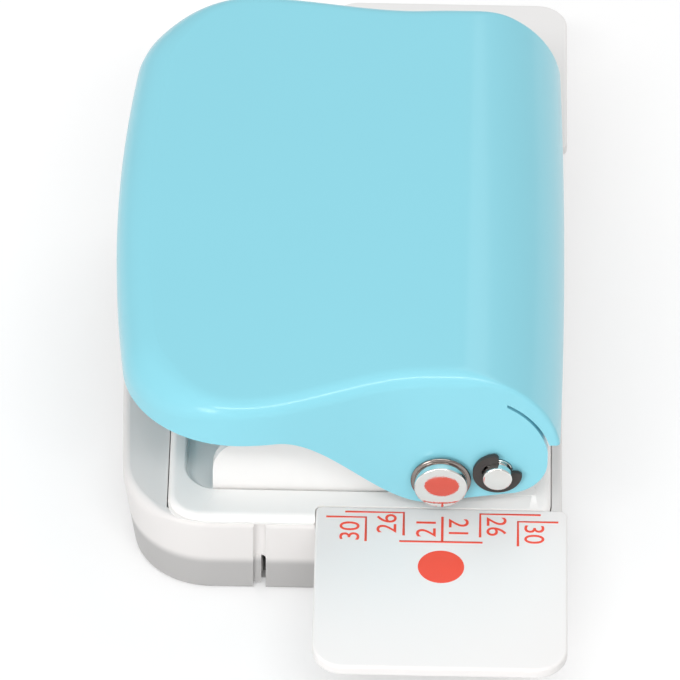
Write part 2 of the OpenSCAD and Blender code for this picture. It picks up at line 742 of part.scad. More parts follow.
// The slit that frees the rolled back from each cheek
function slit_points() = concat(
    arc([roll_x, roll_z], roll_r - lever_t, slit_start, roll_end - 10, curve_steps),
    arc([roll_x, roll_z], roll_r - lever_t - slit_w, roll_end - 10, slit_start - 1, curve_steps));

module lever_form(in) {
    intersection() {
        linear_extrude(lever_z + over) polygon(lever_plan(in));
        side_plate(lever_section(in), -base_w, base_w);
    }
}

module lever() color([0.55, 0.85, 0.92]) {
    difference() {
        intersection() {
            difference() {
                lever_form(0);
                lever_form(lever_t);
            }
            side_plate(lever_side(), -base_w, base_w);
        }
        side_plate(slit_points(), cheek_in_y - seat_c, cheek_y + over);
        side_plate(slit_points(), -cheek_y - over, -cheek_in_y + seat_c);
        rod(pivot_x, pivot_z, pivot_d + 2 * run_c, -base_w, base_w);
        rod(stud_x, stud_z, stud_d + 2 * run_c, -base_w, base_w);
    }
}

module wing() color([0.95, 0.95, 0.945]) {
    tongue_out = base_w / 2 + tongue_t;
    translate([0, 0, wing_z]) linear_extrude(wing_t)
        polygon(wing_points(hole_x, wing_w / 2, wing_y, wing_y + wing_l, wing_inner_r, wing_r));
    box(hole_x - tongue_w / 2, hole_x + tongue_w / 2, tongue_y, tongue_out, tongue_z, wing_z);
}

module wing_near() mirror([0, 1, 0]) wing();

module wing_far() wing();

chip_tray();
deck();
punch_frame();
frame_screws();
die_plate();
paper_stop();
lower_guide();
upper_guide();
guide_screws();
return_springs();
punch_pin(1);  // punch_pin_1
punch_pin(2);  // punch_pin_2
punch_pin(3);  // punch_pin_3
punch_pin(4);  // punch_pin_4
punch_pin(5);  // punch_pin_5
punch_pin(6);  // punch_pin_6
pin_clips();
press_bar();
press_bar_rings();
pivot_pin();
pivot_clips();
pivot_spacers();
lever();
wing_near();
wing_far();
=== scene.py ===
import json
import math

import bmesh
import bpy
from bpy.props import FloatProperty, FloatVectorProperty, IntProperty, PointerProperty
from mathutils import Matrix, Vector


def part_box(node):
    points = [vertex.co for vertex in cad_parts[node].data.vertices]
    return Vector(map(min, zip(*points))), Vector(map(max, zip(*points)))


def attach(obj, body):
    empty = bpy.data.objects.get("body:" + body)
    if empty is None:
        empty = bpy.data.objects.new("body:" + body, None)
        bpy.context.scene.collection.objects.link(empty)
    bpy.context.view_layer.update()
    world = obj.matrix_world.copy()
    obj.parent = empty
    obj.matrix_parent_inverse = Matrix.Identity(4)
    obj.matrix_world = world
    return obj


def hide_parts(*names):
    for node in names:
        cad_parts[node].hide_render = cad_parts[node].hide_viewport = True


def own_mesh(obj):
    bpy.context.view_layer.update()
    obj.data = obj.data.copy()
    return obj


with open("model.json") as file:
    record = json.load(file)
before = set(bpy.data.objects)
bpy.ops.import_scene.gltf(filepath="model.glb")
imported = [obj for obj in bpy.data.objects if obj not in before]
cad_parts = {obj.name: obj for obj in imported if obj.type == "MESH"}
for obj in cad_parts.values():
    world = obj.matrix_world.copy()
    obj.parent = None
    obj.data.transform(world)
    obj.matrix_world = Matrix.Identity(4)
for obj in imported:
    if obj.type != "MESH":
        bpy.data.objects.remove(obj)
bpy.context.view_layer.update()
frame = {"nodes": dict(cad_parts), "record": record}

bl_info = {
    "name": "Loose-leaf paper punch",
    "version": (1, 0, 0),
    "blender": (4, 5, 0),
    "location": "View3D > Sidebar > Punch",
    "description": "Dresses the frame of a six-hole desk punch with its lever, tray, deck and paper guides",
    "category": "Add Mesh",
}

# Places read from the frame, in metres
TRAY_LO, TRAY_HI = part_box("chip_tray")
DECK_LO, DECK_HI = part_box("deck")
LEVER_LO, LEVER_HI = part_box("lever")
WING_LO, WING_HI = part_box("wing_far")
BAR_LO, BAR_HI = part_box("press_bar")
RING_LO, RING_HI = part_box("press_bar_rings")
PIVOT_LO, PIVOT_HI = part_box("pivot_pin")
CLIP_LO, CLIP_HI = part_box("pivot_clips")
SPRING_LO, SPRING_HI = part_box("return_springs")
STOP_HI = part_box("paper_stop")[1]
FRAME_LO, FRAME_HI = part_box("punch_frame")
PIN_BOXES = [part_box(f"punch_pin_{i}") for i in range(1, 7)]
HOLE_X = (PIN_BOXES[0][0].x + PIN_BOXES[0][1].x) / 2
HOLE_YS = [(lo.y + hi.y) / 2 for lo, hi in PIN_BOXES]
STUD_X, STUD_Z = (BAR_LO.x + BAR_HI.x) / 2, (BAR_LO.z + BAR_HI.z) / 2
PIVOT_X, PIVOT_Z = (PIVOT_LO.x + PIVOT_HI.x) / 2, (PIVOT_LO.z + PIVOT_HI.z) / 2
DECK_Z = WING_HI.z

# Steps of round corners, small fillets, long curves and straight walls
CORNER_STEPS = 20
FILLET_STEPS = 6
CURVE_STEPS = 48
WALL_STEPS = 4
# The distance at which points are one, and the millimetres in a metre
MERGE = 1e-7
PER_METRE = 1000
# A white colour, and what makes a finish metal
WHITE = (1, 1, 1, 1)
METAL = {"Metallic": 1.0}


def length(name, description, millimetres):
    """A size that a user may change, given in millimetres."""
    metres = millimetres / PER_METRE
    return FloatProperty(name=name, description=description, default=metres, unit="LENGTH", precision=5)


def angle(name, description, degrees):
    """An angle that a user may change, given in degrees."""
    return FloatProperty(name=name, description=description, default=math.radians(degrees), unit="ROTATION")


def colour(name, description, red, green, blue):
    """A finish's colour, as linear light."""
    return FloatVectorProperty(
        name=name, description=description, default=(red, green, blue), subtype="COLOR", size=3, min=0, max=1)


def power(name, description, watts):
    """The power of a lamp."""
    return FloatProperty(name=name, description=description, default=watts, unit="POWER")


def share(name, description, value):
    """A plain number, such as a strength."""
    return FloatProperty(name=name, description=description, default=value)


class LeverSettings(bpy.types.PropertyGroup):
    """Sizes of the pressed lever."""
    sheet: length("Sheet", "Thickness of the sheet", 1.2)
    bend: length("Bend", "Outer radius of the bend along the sides", 1.8)
    front_bend: length("Front bend", "Outer radius of the bend round the handle's front", 4.0)
    cut_edge: length("Cut edge", "Rounding of the rolled back's edge beside the slit", 0.5)
    flare: length("Flare", "How much wider the handle is than the cheeks, on each side", 4.0)
    flare_start: length("Flare start", "Distance from the row of holes to where the sides spread", 3.0)
    corner: length("Corner", "Plan radius of the handle's corners", 13.9)
    bow: length("Bow", "How far the handle's front edge bows out", 1.33)
    back_bow: length("Back bow", "How far the rolled back bows out", 0.5)
    drop: length("Drop", "How much lower the handle is than the top", 2.0)
    skirt: length("Skirt", "Depth of the skirt round the handle", 6.0)
    roll: length("Roll", "Radius of the rolled back", 12.7)
    roll_end: angle("Roll end", "Angle above the horizontal at which the rolled back ends", 9)
    slit_start: angle("Slit start", "Angle above the horizontal at which each slit starts", 61)
    slit: length("Slit", "Width of the slit beside each cheek", 0.4)
    slit_radius: length("Slit radius", "Radius of the slit's middle", 10.5)
    slit_shift: length("Slit shift", "Distance of the slit's centre back and down from the roll's", 0.97)
    sweep_start: length("Sweep start", "Distance from the holes to where the lower edge sweeps down", 19.8)
    sweep_end: length("Sweep end", "Distance from the holes to where the lower edge is level again", 2.0)
    cheek_end: length("Cheek end", "Radius of the cheeks' rounded end", 5.1)
    cheek_past: length("Cheek past", "Distance of the cheek end's centre past the pivot", 0.8)
    cheek_up: length("Cheek up", "Height of the cheek end's centre over the pivot", 1.25)
    fit: length("Fit", "Clearance round the pins in the cheeks", 0.06)


class TraySettings(bpy.types.PropertyGroup):
    """Sizes of the chip tray and the deck on it."""
    wall: length("Wall", "Wall of the tray", 1.3)
    floor: length("Floor", "Floor of the tray", 1.2)
    lean: length("Lean", "How far the handle side leans out", 1.7)
    end_lean: length("End lean", "How far the other sides lean out", 0.15)
    edge: length("Edge", "Rounding of the lower edge", 0.7)
    rim: length("Rim", "Rounding of the rim", 0.7)
    shelf_rim: length("Shelf rim", "Height of the rounding of the rim along the shelf", 1.8)
    inner_rim: length("Inner rim", "Rounding of the rim's inner edge", 0.1)
    handle_corner: length("Handle corner", "Plan radius of the corners on the handle side", 11.0)
    paper_corner: length("Paper corner", "Plan radius of the corners on the paper side", 4.0)
    bow: length("Bow", "Plan radius of the bow along the handle side", 560.0)
    shelf_gap: length("Shelf gap", "Gap between the shelf and the deck", 0.12)
    notch_back: length("Notch back", "Distance of the latch notches from the middle", 9.3)
    notch: length("Notch", "Width of the latch notches", 1.5)
    notch_h: length("Notch height", "Height of the latch notches", 5.3)
    deck_corner: length("Deck corner", "Plan radius of the deck's corners", 3.9)
    deck_edge: length("Deck edge", "Rounding of the deck's outer edge", 0.9)
    deck_grow: length("Deck growth", "How much further the deck reaches on the paper side", 0.52)
    deck_in: length("Deck inset", "How far the deck stands back from the rim at its ends", 0.3)
    deck_lip: length("Deck lip", "Rounding of the edge of the deck's opening", 0.4)
    deck_front: length("Deck front", "Width of the deck along the handle side", 2.1)
    deck_back: length("Deck back", "Gap between the frame and the deck on the paper side", 0.1)
    dish: length("Dish", "Depth of the dish behind the frame", 1.37)
    dish_round: length("Dish rounding", "Rounding of the dish's floor", 1.1)
    tab: length("Tab", "Width of the tab in each latch notch", 0.95)
    tab_in: length("Tab depth", "How far the tab stands back in the notch", 0.35)
    tab_low: length("Tab height", "Height of the tab's lower end", 0.9)
    groove_lip: length("Groove lip", "Rounding of the edges of the groove over each notch", 0.3)
    frame_gap: length("Frame gap", "Space between the deck and the frame", 0.3)
    slide: length("Slide", "Clearance round the paper guides", 0.07)


class GuideSettings(bpy.types.PropertyGroup):
    """Sizes of the paper guides and the marks on them."""
    lap: length("Lap", "How far each guide lies over the tray", 2.45)
    thickness: length("Thickness", "Thickness of the guides", 1.5)
    corner: length("Corner", "Plan radius of the outer corners", 3.8)
    inner_corner: length("Inner corner", "Plan radius of the inner corners", 0.8)
    edge: length("Edge", "Rounding of the guides' edges", 0.35)
    tongue: length("Tongue", "Width of the tongue", 20.0)
    line: length("Line", "Width of the printed lines", 0.3)
    ink: length("Ink", "Height of the print over the plastic", 0.02)
    dot: length("Dot", "Diameter of the printed dot", 5.5)
    dot_y: length("Dot place", "Distance of the dot from the middle of the row", 42.75)
    figure: length("Figure", "Height of the printed numbers", 3.4)


class PinSettings(bpy.types.PropertyGroup):
    """Sizes of the turned pins, their clips and the springs."""
    bar: length("Bar", "Diameter of the press bar between its round ends", 2.8)
    groove: length("Groove", "Depth of the grooves in the pins", 0.45)
    chamfer: length("Edge", "Rounding of the pins' ends", 0.22)
    dome: length("Dome", "Height of the pins' domed ends", 0.1)
    clip: length("Clip", "Thickness of the pivot's clips", 0.6)
    ring: length("Ring", "Thickness of the press bar's rings", 0.5)
    wire: length("Wire", "Wire of the return springs", 0.55)
    turns: FloatProperty(name="Turns", description="Turns of each return spring", default=3.5)
    sides: IntProperty(name="Sides", description="Faces round a turned pin", default=96)


class FinishSettings(bpy.types.PropertyGroup):
    """Colours of the finishes."""
    paint: colour("Paint", "Paint of the lever", 0.265, 0.66, 0.77)
    white: colour("White", "Moulded plastic of the paper guides", 0.875, 0.855, 0.845)
    deck: colour("Deck", "Moulded plastic of the deck", 0.95, 0.925, 0.905)
    frame: colour("Frame", "White paint of the frame", 0.90, 0.885, 0.87)
    frosted: colour("Frosted", "Frosted plastic of the tray", 0.92, 0.895, 0.88)
    # Painted shade: this darker colour stands in for the shade seen through the tray's wall where it is
    # hollow behind
    hollow: colour("Hollow", "Frosted plastic where nothing stands behind it", 0.45, 0.445, 0.44)
    plated: colour("Plated", "Plated steel", 0.62, 0.63, 0.65)
    bright: colour("Bright", "Polished steel", 0.80, 0.79, 0.77)
    spring: colour("Spring", "Tempered spring steel", 0.30, 0.26, 0.24)
    black: colour("Black", "Blackened steel", 0.05, 0.046, 0.044)
    ink: colour("Ink", "Print on the guides", 0.93, 0.085, 0.045)


class StageSettings(bpy.types.PropertyGroup):
    """Camera, light and floor."""
    camera: FloatVectorProperty(
        name="Camera", description="Place of the camera", default=(0.00691, -0.81337, 0.75943),
        subtype="TRANSLATION")
    elevation: angle("Elevation", "Angle at which the camera looks down", 42.71)
    azimuth: angle("Azimuth", "Turn of the camera about the vertical", 0.51)
    roll: angle("Roll", "Turn of the camera about its axis", 0.74)
    lens: FloatProperty(name="Lens", description="Focal length of the camera", default=479.86, unit="CAMERA")
    sensor: FloatProperty(name="Sensor", description="Width of the sensor", default=36, unit="CAMERA")
    key: power("Key", "Power of the key lamp", 4.7)
    fill: power("Fill", "Power of the low lamp on the handle side", 3.4)
    rear: power("Rear", "Power of the lamp on the paper side", 1.4)
    horizon: share("Horizon", "Strength of the surroundings at the horizon", 0.58)
    zenith: share("Zenith", "Strength of the surroundings overhead", 0.64)
    floor: share("Floor", "Lightness of the floor", 0.7)
    glow: share("Glow", "Strength that the floor adds where it is seen directly", 0.33)


# Outlines

def span(start, end, steps):
    """Evenly spaced values from start to end."""
    return [start + (end - start) * i / steps for i in range(steps + 1)]


def arc(x, y, radius, start, end, steps):
    """Points of an arc, angles in radians."""
    return [(x + radius * math.cos(a), y + radius * math.sin(a)) for a in span(start, end, steps)]


def smooth_step(value):
    """An even rise from 0 to 1."""
    t = min(max(value, 0.0), 1.0)
    return t * t * (3 - 2 * t)


def mixed(a, b, t):
    """The value at share t between a and b."""
    return a + (b - a) * t


def to_side(side, near, far):
    """Two distances from the middle as ends along Y, on the side -1 or 1."""
    return sorted((side * near, side * far))


def rounded_loop(x0, x1, y0, y1, radii):
    """A rectangle with round corners. Its radii are at (x0, y0), (x1, y0), (x1, y1) and (x0, y1)."""
    quarter = math.pi / 2
    r0, r1, r2, r3 = radii
    return (arc(x0 + r0, y0 + r0, r0, 2 * quarter, 3 * quarter, CORNER_STEPS)
            + arc(x1 - r1, y0 + r1, r1, 3 * quarter, 4 * quarter, CORNER_STEPS)
            + arc(x1 - r2, y1 - r2, r2, 0, quarter, CORNER_STEPS)
            + arc(x0 + r3, y1 - r3, r3, quarter, 2 * quarter, CORNER_STEPS))


def tray_loop(s, z, grow):
    """The tray seen from above at height z, grown by the given distance: a shallow bow with round corners."""
    half_turn = math.pi
    fall = 1 - z / TRAY_HI.z
    end_in = s.end_lean * fall - grow
    front_in = s.lean * fall - grow
    r0 = s.handle_corner - front_in
    r1 = s.paper_corner - end_in
    x1 = TRAY_HI.x - end_in
    y = TRAY_HI.y - end_in
    bow_x = TRAY_LO.x + s.bow
    bow_r = s.bow - front_in
    turn = math.asin((y - r0) / (bow_r - r0))
    corner_x = bow_x - (bow_r - r0) * math.cos(turn)
    bow = arc(bow_x, 0, bow_r, half_turn - turn, half_turn + turn, CORNER_STEPS)
    return (arc(corner_x, -y + r0, r0, half_turn + turn, 1.5 * half_turn, CORNER_STEPS)
            + arc(x1 - r1, -y + r1, r1, 1.5 * half_turn, 2 * half_turn, CORNER_STEPS)
            + arc(x1 - r1, y - r1, r1, 0, half_turn / 2, CORNER_STEPS)
            + arc(corner_x, y - r0, r0, half_turn / 2, half_turn - turn, CORNER_STEPS)
            + bow[1:-1])


def fillet(radius, rising):
    """Steps of a quarter round as (how far in, how far up), from the wall to the flat or the other way."""
    steps = [(radius * (1 - math.cos(a)), radius * math.sin(a)) for a in span(0, math.pi / 2, FILLET_STEPS)]
    return steps if rising else steps[::-1]


# Meshes

def linked(name, data):
    """A new object of a mesh, curve, lamp or camera in the scene."""
    obj = bpy.data.objects.new(name, data)
    bpy.context.scene.collection.objects.link(obj)
    return obj


def solid(name, points, faces):
    """A closed object: points that meet are merged, open ends are filled and faces point outwards."""
    mesh = bpy.data.meshes.new(name)
    mesh.from_pydata(points, [], faces)
    bm = bmesh.new()
    bm.from_mesh(mesh)
    bmesh.ops.remove_doubles(bm, verts=bm.verts, dist=MERGE)
    bmesh.ops.dissolve_degenerate(bm, dist=MERGE, edges=bm.edges)
    bmesh.ops.holes_fill(bm, edges=[e for e in bm.edges if e.is_boundary], sides=0)
    bmesh.ops.recalc_face_normals(bm, faces=bm.faces)
    bm.to_mesh(mesh)
    bm.free()
    return linked(name, mesh)


def stack(name, loops, ring=False):
    """A solid through closed loops of as many points each. A ring's last loop joins its first."""
    count = len(loops[0])
    points = [p for loop in loops for p in loop]
    faces = []
    for i in range(len(loops) if ring else len(loops) - 1):
        a, b = i * count, (i + 1) % len(loops) * count
        for k in range(count):
            n = (k + 1) % count
            faces.append((a + k, a + n, b + n, b + k))
    return solid(name, points, faces)


def at_height(loop, z):
    """A plan outline as points at height z."""
    return [(x, y, z) for x, y in loop]


def drawn_along_y(name, outline, y0, y1):
    """An outline in X and Z drawn out along Y."""
    return stack(name, [[(x, y, z) for x, z in outline] for y in (y0, y1)])


def block(name, x0, x1, y0, y1, z0, z1):
    """A plain box to cut or add with."""
    loop = [(x0, y0), (x1, y0), (x1, y1), (x0, y1)]
    return stack(name, [at_height(loop, z0), at_height(loop, z1)])


def turned(name, x, z, profile, sides, ring=False):
    """A solid turned about a line along Y through x and z. The profile is a list of (y, radius)."""
    around = span(0, 2 * math.pi, sides)[:-1]
    loops = [[(x + r * math.cos(a), y, z + r * math.sin(a)) for a in around] for y, r in profile]
    return stack(name, loops, ring)


def baked(obj):
    """Makes the object's evaluated shape its own mesh and drops the modifiers."""
    graph = bpy.context.evaluated_depsgraph_get()
    mesh = bpy.data.meshes.new_from_object(obj.evaluated_get(graph))
    obj.modifiers.clear()
    obj.data = mesh
    return obj


def carve(obj, tool, operation="DIFFERENCE"):
    """Cuts, keeps or joins the tool's space, and deletes the tool."""
    cut = obj.modifiers.new("cut", "BOOLEAN")
    cut.operation = operation
    cut.solver = "EXACT"
    cut.object = tool
    bpy.context.view_layer.update()
    baked(obj)
    bpy.data.objects.remove(tool)
    if not obj.data.polygons:
        raise RuntimeError(f"{obj.name} came out empty")
    return obj


def joined(name, objects):
    """One object that holds the meshes of several."""
    bm = bmesh.new()
    for obj in objects:
        bm.from_mesh(obj.data)
        bpy.data.objects.remove(obj)
    mesh = bpy.data.meshes.new(name)
    bm.to_mesh(mesh)
    bm.free()
    return linked(name, mesh)


def smoothed(obj, degrees=32):
    """Shades the object smoothly, apart from edges sharper than the angle, and keeps its flats flat."""
    obj.data.shade_smooth()
    obj.data.set_sharp_from_angle(angle=math.radians(degrees))
    weighted = obj.modifiers.new("weighted", "WEIGHTED_NORMAL")
    weighted.keep_sharp = True
    return baked(obj)


def placed(obj, body, material, stands_for=()):
    """Gives a piece its finish, its body and the frame's nodes that it stands for."""
    obj.data.materials.clear()
    obj.data.materials.append(material)
    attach(obj, body)
    if stands_for:
        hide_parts(*stands_for)
    return obj


# Nodes

def added(tree, kind, inputs, **settings):
    """A new node of a tree with its settings. Each input takes a plain value or another node's socket."""
    node = tree.nodes.new(kind)
    for key, value in settings.items():
        setattr(node, key, value)
    for key, value in inputs.items():
        if isinstance(value, bpy.types.NodeSocket):
            tree.links.new(value, node.inputs[key])
        else:
            node.inputs[key].default_value = value
    return node


def new_tree(name, **sockets):
    """A geometry tree with named inputs of the given kinds, and the sockets that hold their values."""
    tree = bpy.data.node_groups.new(name, "GeometryNodeTree")
    for label, kind in sockets.items():
        tree.interface.new_socket(label, in_out="INPUT", socket_type=f"NodeSocket{kind}")
    tree.interface.new_socket("Piece", in_out="OUTPUT", socket_type="NodeSocketGeometry")
    return tree, tree.nodes.new("NodeGroupInput").outputs


def ended(tree, geometry, material):
    """Makes a tree's instances real, gives them their finish and hands them out."""
    real = added(tree, "GeometryNodeRealizeInstances", {"Geometry": geometry})
    coated = added(tree, "GeometryNodeSetMaterial", {
        "Geometry": real.outputs["Geometry"], "Material": material})
    added(tree, "NodeGroupOutput", {"Piece": coated.outputs["Geometry"]})
    return tree


def set_inputs(modifier, **values):
    """Sets a tree's inputs by the identifiers of their sockets."""
    for item in modifier.node_group.interface.items_tree:
        if item.item_type == "SOCKET" and item.in_out == "INPUT" and item.name in values:
            modifier[item.identifier] = values[item.name]


# Finishes

def object_place(tree):
    """The object's own coordinates."""
    return added(tree, "ShaderNodeTexCoord", {}).outputs["Object"]


def noise(tree, scale, detail=3.0):
    """A noise over the object's own coordinates, with scale in waves per metre."""
    inputs = {"Vector": object_place(tree), "Scale": scale, "Detail": detail}
    return added(tree, "ShaderNodeTexNoise", inputs).outputs["Fac"]


def ranged(tree, value, low, high):
    """A noise's usual values spread from low to high."""
    least, most = 0.1, 0.9
    inputs = {"Value": value, "From Min": least, "From Max": most, "To Min": low, "To Max": high}
    return added(tree, "ShaderNodeMapRange", inputs).outputs["Result"]


def eased(tree, value, start, end):
    """0 where the value has reached start, 1 where it has reached end, and even between them."""
    inputs = {"Value": value, "From Min": start, "From Max": end}
    return added(tree, "ShaderNodeMapRange", inputs, interpolation_type="SMOOTHSTEP").outputs["Result"]


def worked(tree, operation, *values):
    """The result of an operation on sockets and plain numbers."""
    return added(tree, "ShaderNodeMath", dict(enumerate(values)), operation=operation).outputs["Value"]


def blended(tree, factor, a, b):
    """A colour between two others."""
    inputs = {"Factor": factor, "A": a, "B": b}
    return added(tree, "ShaderNodeMix", inputs, data_type="RGBA").outputs["Result"]


def tinted(tree, value, rgb, tint):
    """The colour, a little lighter or darker with the value."""
    dark = [c * (1 - tint) for c in rgb] + [1]
    light = [min(c * (1 + tint), 1) for c in rgb] + [1]
    return blended(tree, value, dark, light)


def grained(name, rgb, roughness, patch, grain, depth, tint=0.02, spread=0.05, sockets=None):
    """A finish with patches of slightly other colour and gloss, and a fine grain.

    Patches and grain are in waves per metre and the grain's depth in metres. Tint and spread are how much the
    colour and the roughness change. Other sockets of the surface shader are set by their names.
    """
    grain_detail = 2.0
    material = bpy.data.materials.new(name)
    material.use_nodes = True
    tree = material.node_tree
    shader = tree.nodes["Principled BSDF"]
    patches = noise(tree, patch)
    bump = added(tree, "ShaderNodeBump", {
        "Strength": 1.0, "Distance": depth, "Height": noise(tree, grain, grain_detail)})
    tree.links.new(tinted(tree, patches, rgb, tint), shader.inputs["Base Color"])
    tree.links.new(ranged(tree, patches, roughness - spread, roughness + spread), shader.inputs["Roughness"])
    tree.links.new(bump.outputs["Normal"], shader.inputs["Normal"])
    for key, value in (sockets or {}).items():
        shader.inputs[key].default_value = value
    return material


def lever_paint(c):
    """Baked paint with a soft gloss and a faint orange peel."""
    return grained("lever_paint", c.paint, roughness=0.30, patch=45, grain=900, depth=1.5e-6, tint=0.012,
                   spread=0.03, sockets={"IOR": 1.25, "Coat Weight": 0.35, "Coat Roughness": 0.12})


def moulded_white(c):
    """Satin moulded plastic of the paper guides."""
    return grained("moulded_white", c.white, roughness=0.42, patch=60, grain=2600, depth=3e-6, tint=0.012)


def deck_plastic(c):
    """Satin moulded plastic of the deck, a little warmer and lighter than the guides."""
    return grained("deck_plastic", c.deck, roughness=0.42, patch=60, grain=2600, depth=3e-6, tint=0.012)


def frame_paint(c):
    """Satin white paint on steel."""
    return grained("frame_paint", c.frame, roughness=0.38, patch=50, grain=1100, depth=4e-6, tint=0.012)


def milky_plastic_painted_shade(c):
    """Milky plastic that lets light through, with painted shade: its colour turns darker where the tray is
    hollow behind it.
    """
    material = grained("milky_plastic_painted_shade", c.frosted, roughness=0.36, patch=70, grain=3200, depth=4e-6,
                       sockets={"Transmission Weight": 0.15, "IOR": 1.4})
    tree = material.node_tree
    base = tree.nodes["Principled BSDF"].inputs["Base Color"]
    # Painted shade: the colour turns toward the hollow colour below the deck's skirt and over the shelf
    shade = blended(tree, hollow_behind(tree), base.links[0].from_socket, [*c.hollow, 1])
    tree.links.new(shade, base)
    return material


def hollow_behind(tree):
    """How much painted shade a point of the tray gets for the hollow behind it: below the deck's skirt, and
    over the shelf inside the wall.

    Corner is the plan radius that the wall follows on the handle side. Each painted shade share is how far
    its place darkens.
    """
    skirt_low, blur, below_painted_shade = 0.0048, 0.0007, 0.8
    corner, wall, shelf_painted_shade = 0.021, 0.0019, 0.03
    x, y, z = added(tree, "ShaderNodeSeparateXYZ", {"Vector": object_place(tree)}).outputs
    below = eased(tree, z, skirt_low + blur, skirt_low - blur)
    ahead = worked(tree, "MAXIMUM", worked(tree, "SUBTRACT", TRAY_LO.x + corner, x), 0)
    aside = worked(tree, "SUBTRACT", worked(tree, "ABSOLUTE", y), TRAY_HI.y - corner)
    aside = worked(tree, "MAXIMUM", aside, 0)
    squares = [worked(tree, "POWER", way, 2) for way in (ahead, aside)]
    reach = worked(tree, "SQRT", worked(tree, "ADD", *squares))
    inside = eased(tree, reach, corner - wall + blur / 2, corner - wall - blur / 2)
    on_top = eased(tree, z, TRAY_HI.z - blur, TRAY_HI.z - blur / 2)
    shelf = worked(tree, "MULTIPLY", worked(tree, "MULTIPLY", inside, on_top), shelf_painted_shade)
    return worked(tree, "MAXIMUM", worked(tree, "MULTIPLY", below, below_painted_shade), shelf)


def dull_plating(c):
    """Dull plated steel."""
    return grained("dull_plating", c.plated, roughness=0.34, patch=160, grain=2400, depth=4e-6, tint=0.06,
                   spread=0.08, sockets=METAL)


def turned_steel(c):
    """Turned and polished steel."""
    return grained("turned_steel", c.bright, roughness=0.13, patch=500, grain=2600, depth=1.5e-6, tint=0.04,
                   sockets=METAL)


def sanded_steel(c):
    """The pins' ends, bright but finely pitted."""
    return grained("sanded_steel", c.bright, roughness=0.05, patch=900, grain=4200, depth=2.5e-6, tint=0.05,
                   spread=0.04, sockets=METAL)


def spring_steel(c):
    """Dark tempered steel of the snap rings."""
    return grained("spring_steel", c.spring, roughness=0.12, patch=500, grain=2600, depth=1.5e-6, tint=0.1,
                   sockets=METAL)


def blackened_spring(c):
    """Spring steel with a blackened skin."""
    return grained("blackened_spring", c.black, roughness=0.48, patch=420, grain=3000, depth=4e-6, tint=0.2,
                   spread=0.08, sockets={"Specular IOR Level": 0.3})


def red_ink(c):
    """Printed ink, thin and even."""
    return grained("red_ink", c.ink, roughness=0.5, patch=260, grain=4000, depth=2e-6, tint=0.04)


FINISHES = {
    "blue_paint": lever_paint,
    "white_plastic": moulded_white,
    "deck_plastic": deck_plastic,
    "white_paint": frame_paint,
    "frosted_plastic": milky_plastic_painted_shade,
    "plated_steel": dull_plating,
    "bright_steel": turned_steel,
    "sanded_steel": sanded_steel,
    "spring_steel": spring_steel,
    "black_steel": blackened_spring,
    "red_ink": red_ink,
}


def finish(context, slot):
    """The finish of a material slot or of a special surface, made once."""
    name = FINISHES[slot].__name__
    return bpy.data.materials.get(name) or FINISHES[slot](context.scene.punch_finishes)


# The lever

def cheek_y(s):
    """Outer face of the lever's cheeks."""
    return LEVER_HI.y - s.flare


def roll_centre(s):
    """Centre of the rolled back, in X and Z."""
    return LEVER_HI.x - s.roll * math.cos(s.roll_end), LEVER_HI.z - s.roll


def front_radius(s):
    """Plan radius of the handle's bowed front."""
    return (LEVER_HI.y - s.corner) ** 2 / (2 * s.bow)


def handle_corner(s):
    """Plan centre of the handle's corner, and the angle at which its arc passes into the bowed front."""
    y = LEVER_HI.y - s.corner
    reach = front_radius(s) - s.corner
    turn = math.asin(y / reach)
    return LEVER_LO.x + front_radius(s) - reach * math.cos(turn), y, turn


def lever_half(s, x):
    """Half width of the lever at x, behind the handle's corners."""
    start = HOLE_X - s.flare_start
    end = handle_corner(s)[0]
    return cheek_y(s) + s.flare * smooth_step((start - x) / (start - end))


def lever_top(s, x):
    """Height of the lever's top at x, ahead of the rolled back."""
    start = roll_centre(s)[0]
    end = LEVER_LO.x + s.corner
    return LEVER_HI.z - s.drop * smooth_step((start - x) / (start - end))


def lever_rows(s, inset, depth):
    """The lever's cross rows from the rolled back to the front of the handle, drawn in by inset.

    A row is its place (x, half width, z), the direction its top faces in X and Z, the direction from its side
    inwards in X and Y, and the radius of its bend.
    """
    roll_x, roll_z = roll_centre(s)
    corner_x, corner_y, turn = handle_corner(s)
    inner_bend, grown = 0.0002, 0.7

    def bend(radius):
        return max(radius - inset, inner_bend)

    half = cheek_y(s) - inset
    radius = s.roll - inset
    rows = [((roll_x + radius, half, depth), (1, 0), (0, 1), bend(s.cut_edge))]
    for a in span(0, math.pi / 2, CURVE_STEPS)[:-1]:
        rise = smooth_step((a - s.slit_start) / (math.pi / 2 - s.slit_start))
        rows.append(((roll_x + radius * math.cos(a), half, roll_z + radius * math.sin(a)),
                     (math.cos(a), math.sin(a)), (0, 1), bend(mixed(s.cut_edge, s.bend, rise))))
    for x in span(roll_x, corner_x, CURVE_STEPS)[:-1]:
        step = s.sheet / 10
        slope = (lever_top(s, x + step) - lever_top(s, x - step)) / (2 * step)
        steep = math.hypot(slope, 1)
        rows.append(((x, lever_half(s, x) - inset, lever_top(s, x) - inset),
                     (-slope / steep, 1 / steep), (0, 1), bend(s.bend)))
    for i, b in enumerate(span(0, math.pi / 2 - turn, CORNER_STEPS)):
        reach = s.corner - inset
        swell = smooth_step(i / (grown * CORNER_STEPS))
        x = corner_x - reach * math.sin(b)
        rows.append(((x, corner_y + reach * math.cos(b), lever_top(s, x) - inset),
                     (0, 1), (math.sin(b), math.cos(b)), bend(mixed(s.bend, s.front_bend, swell))))
    return rows


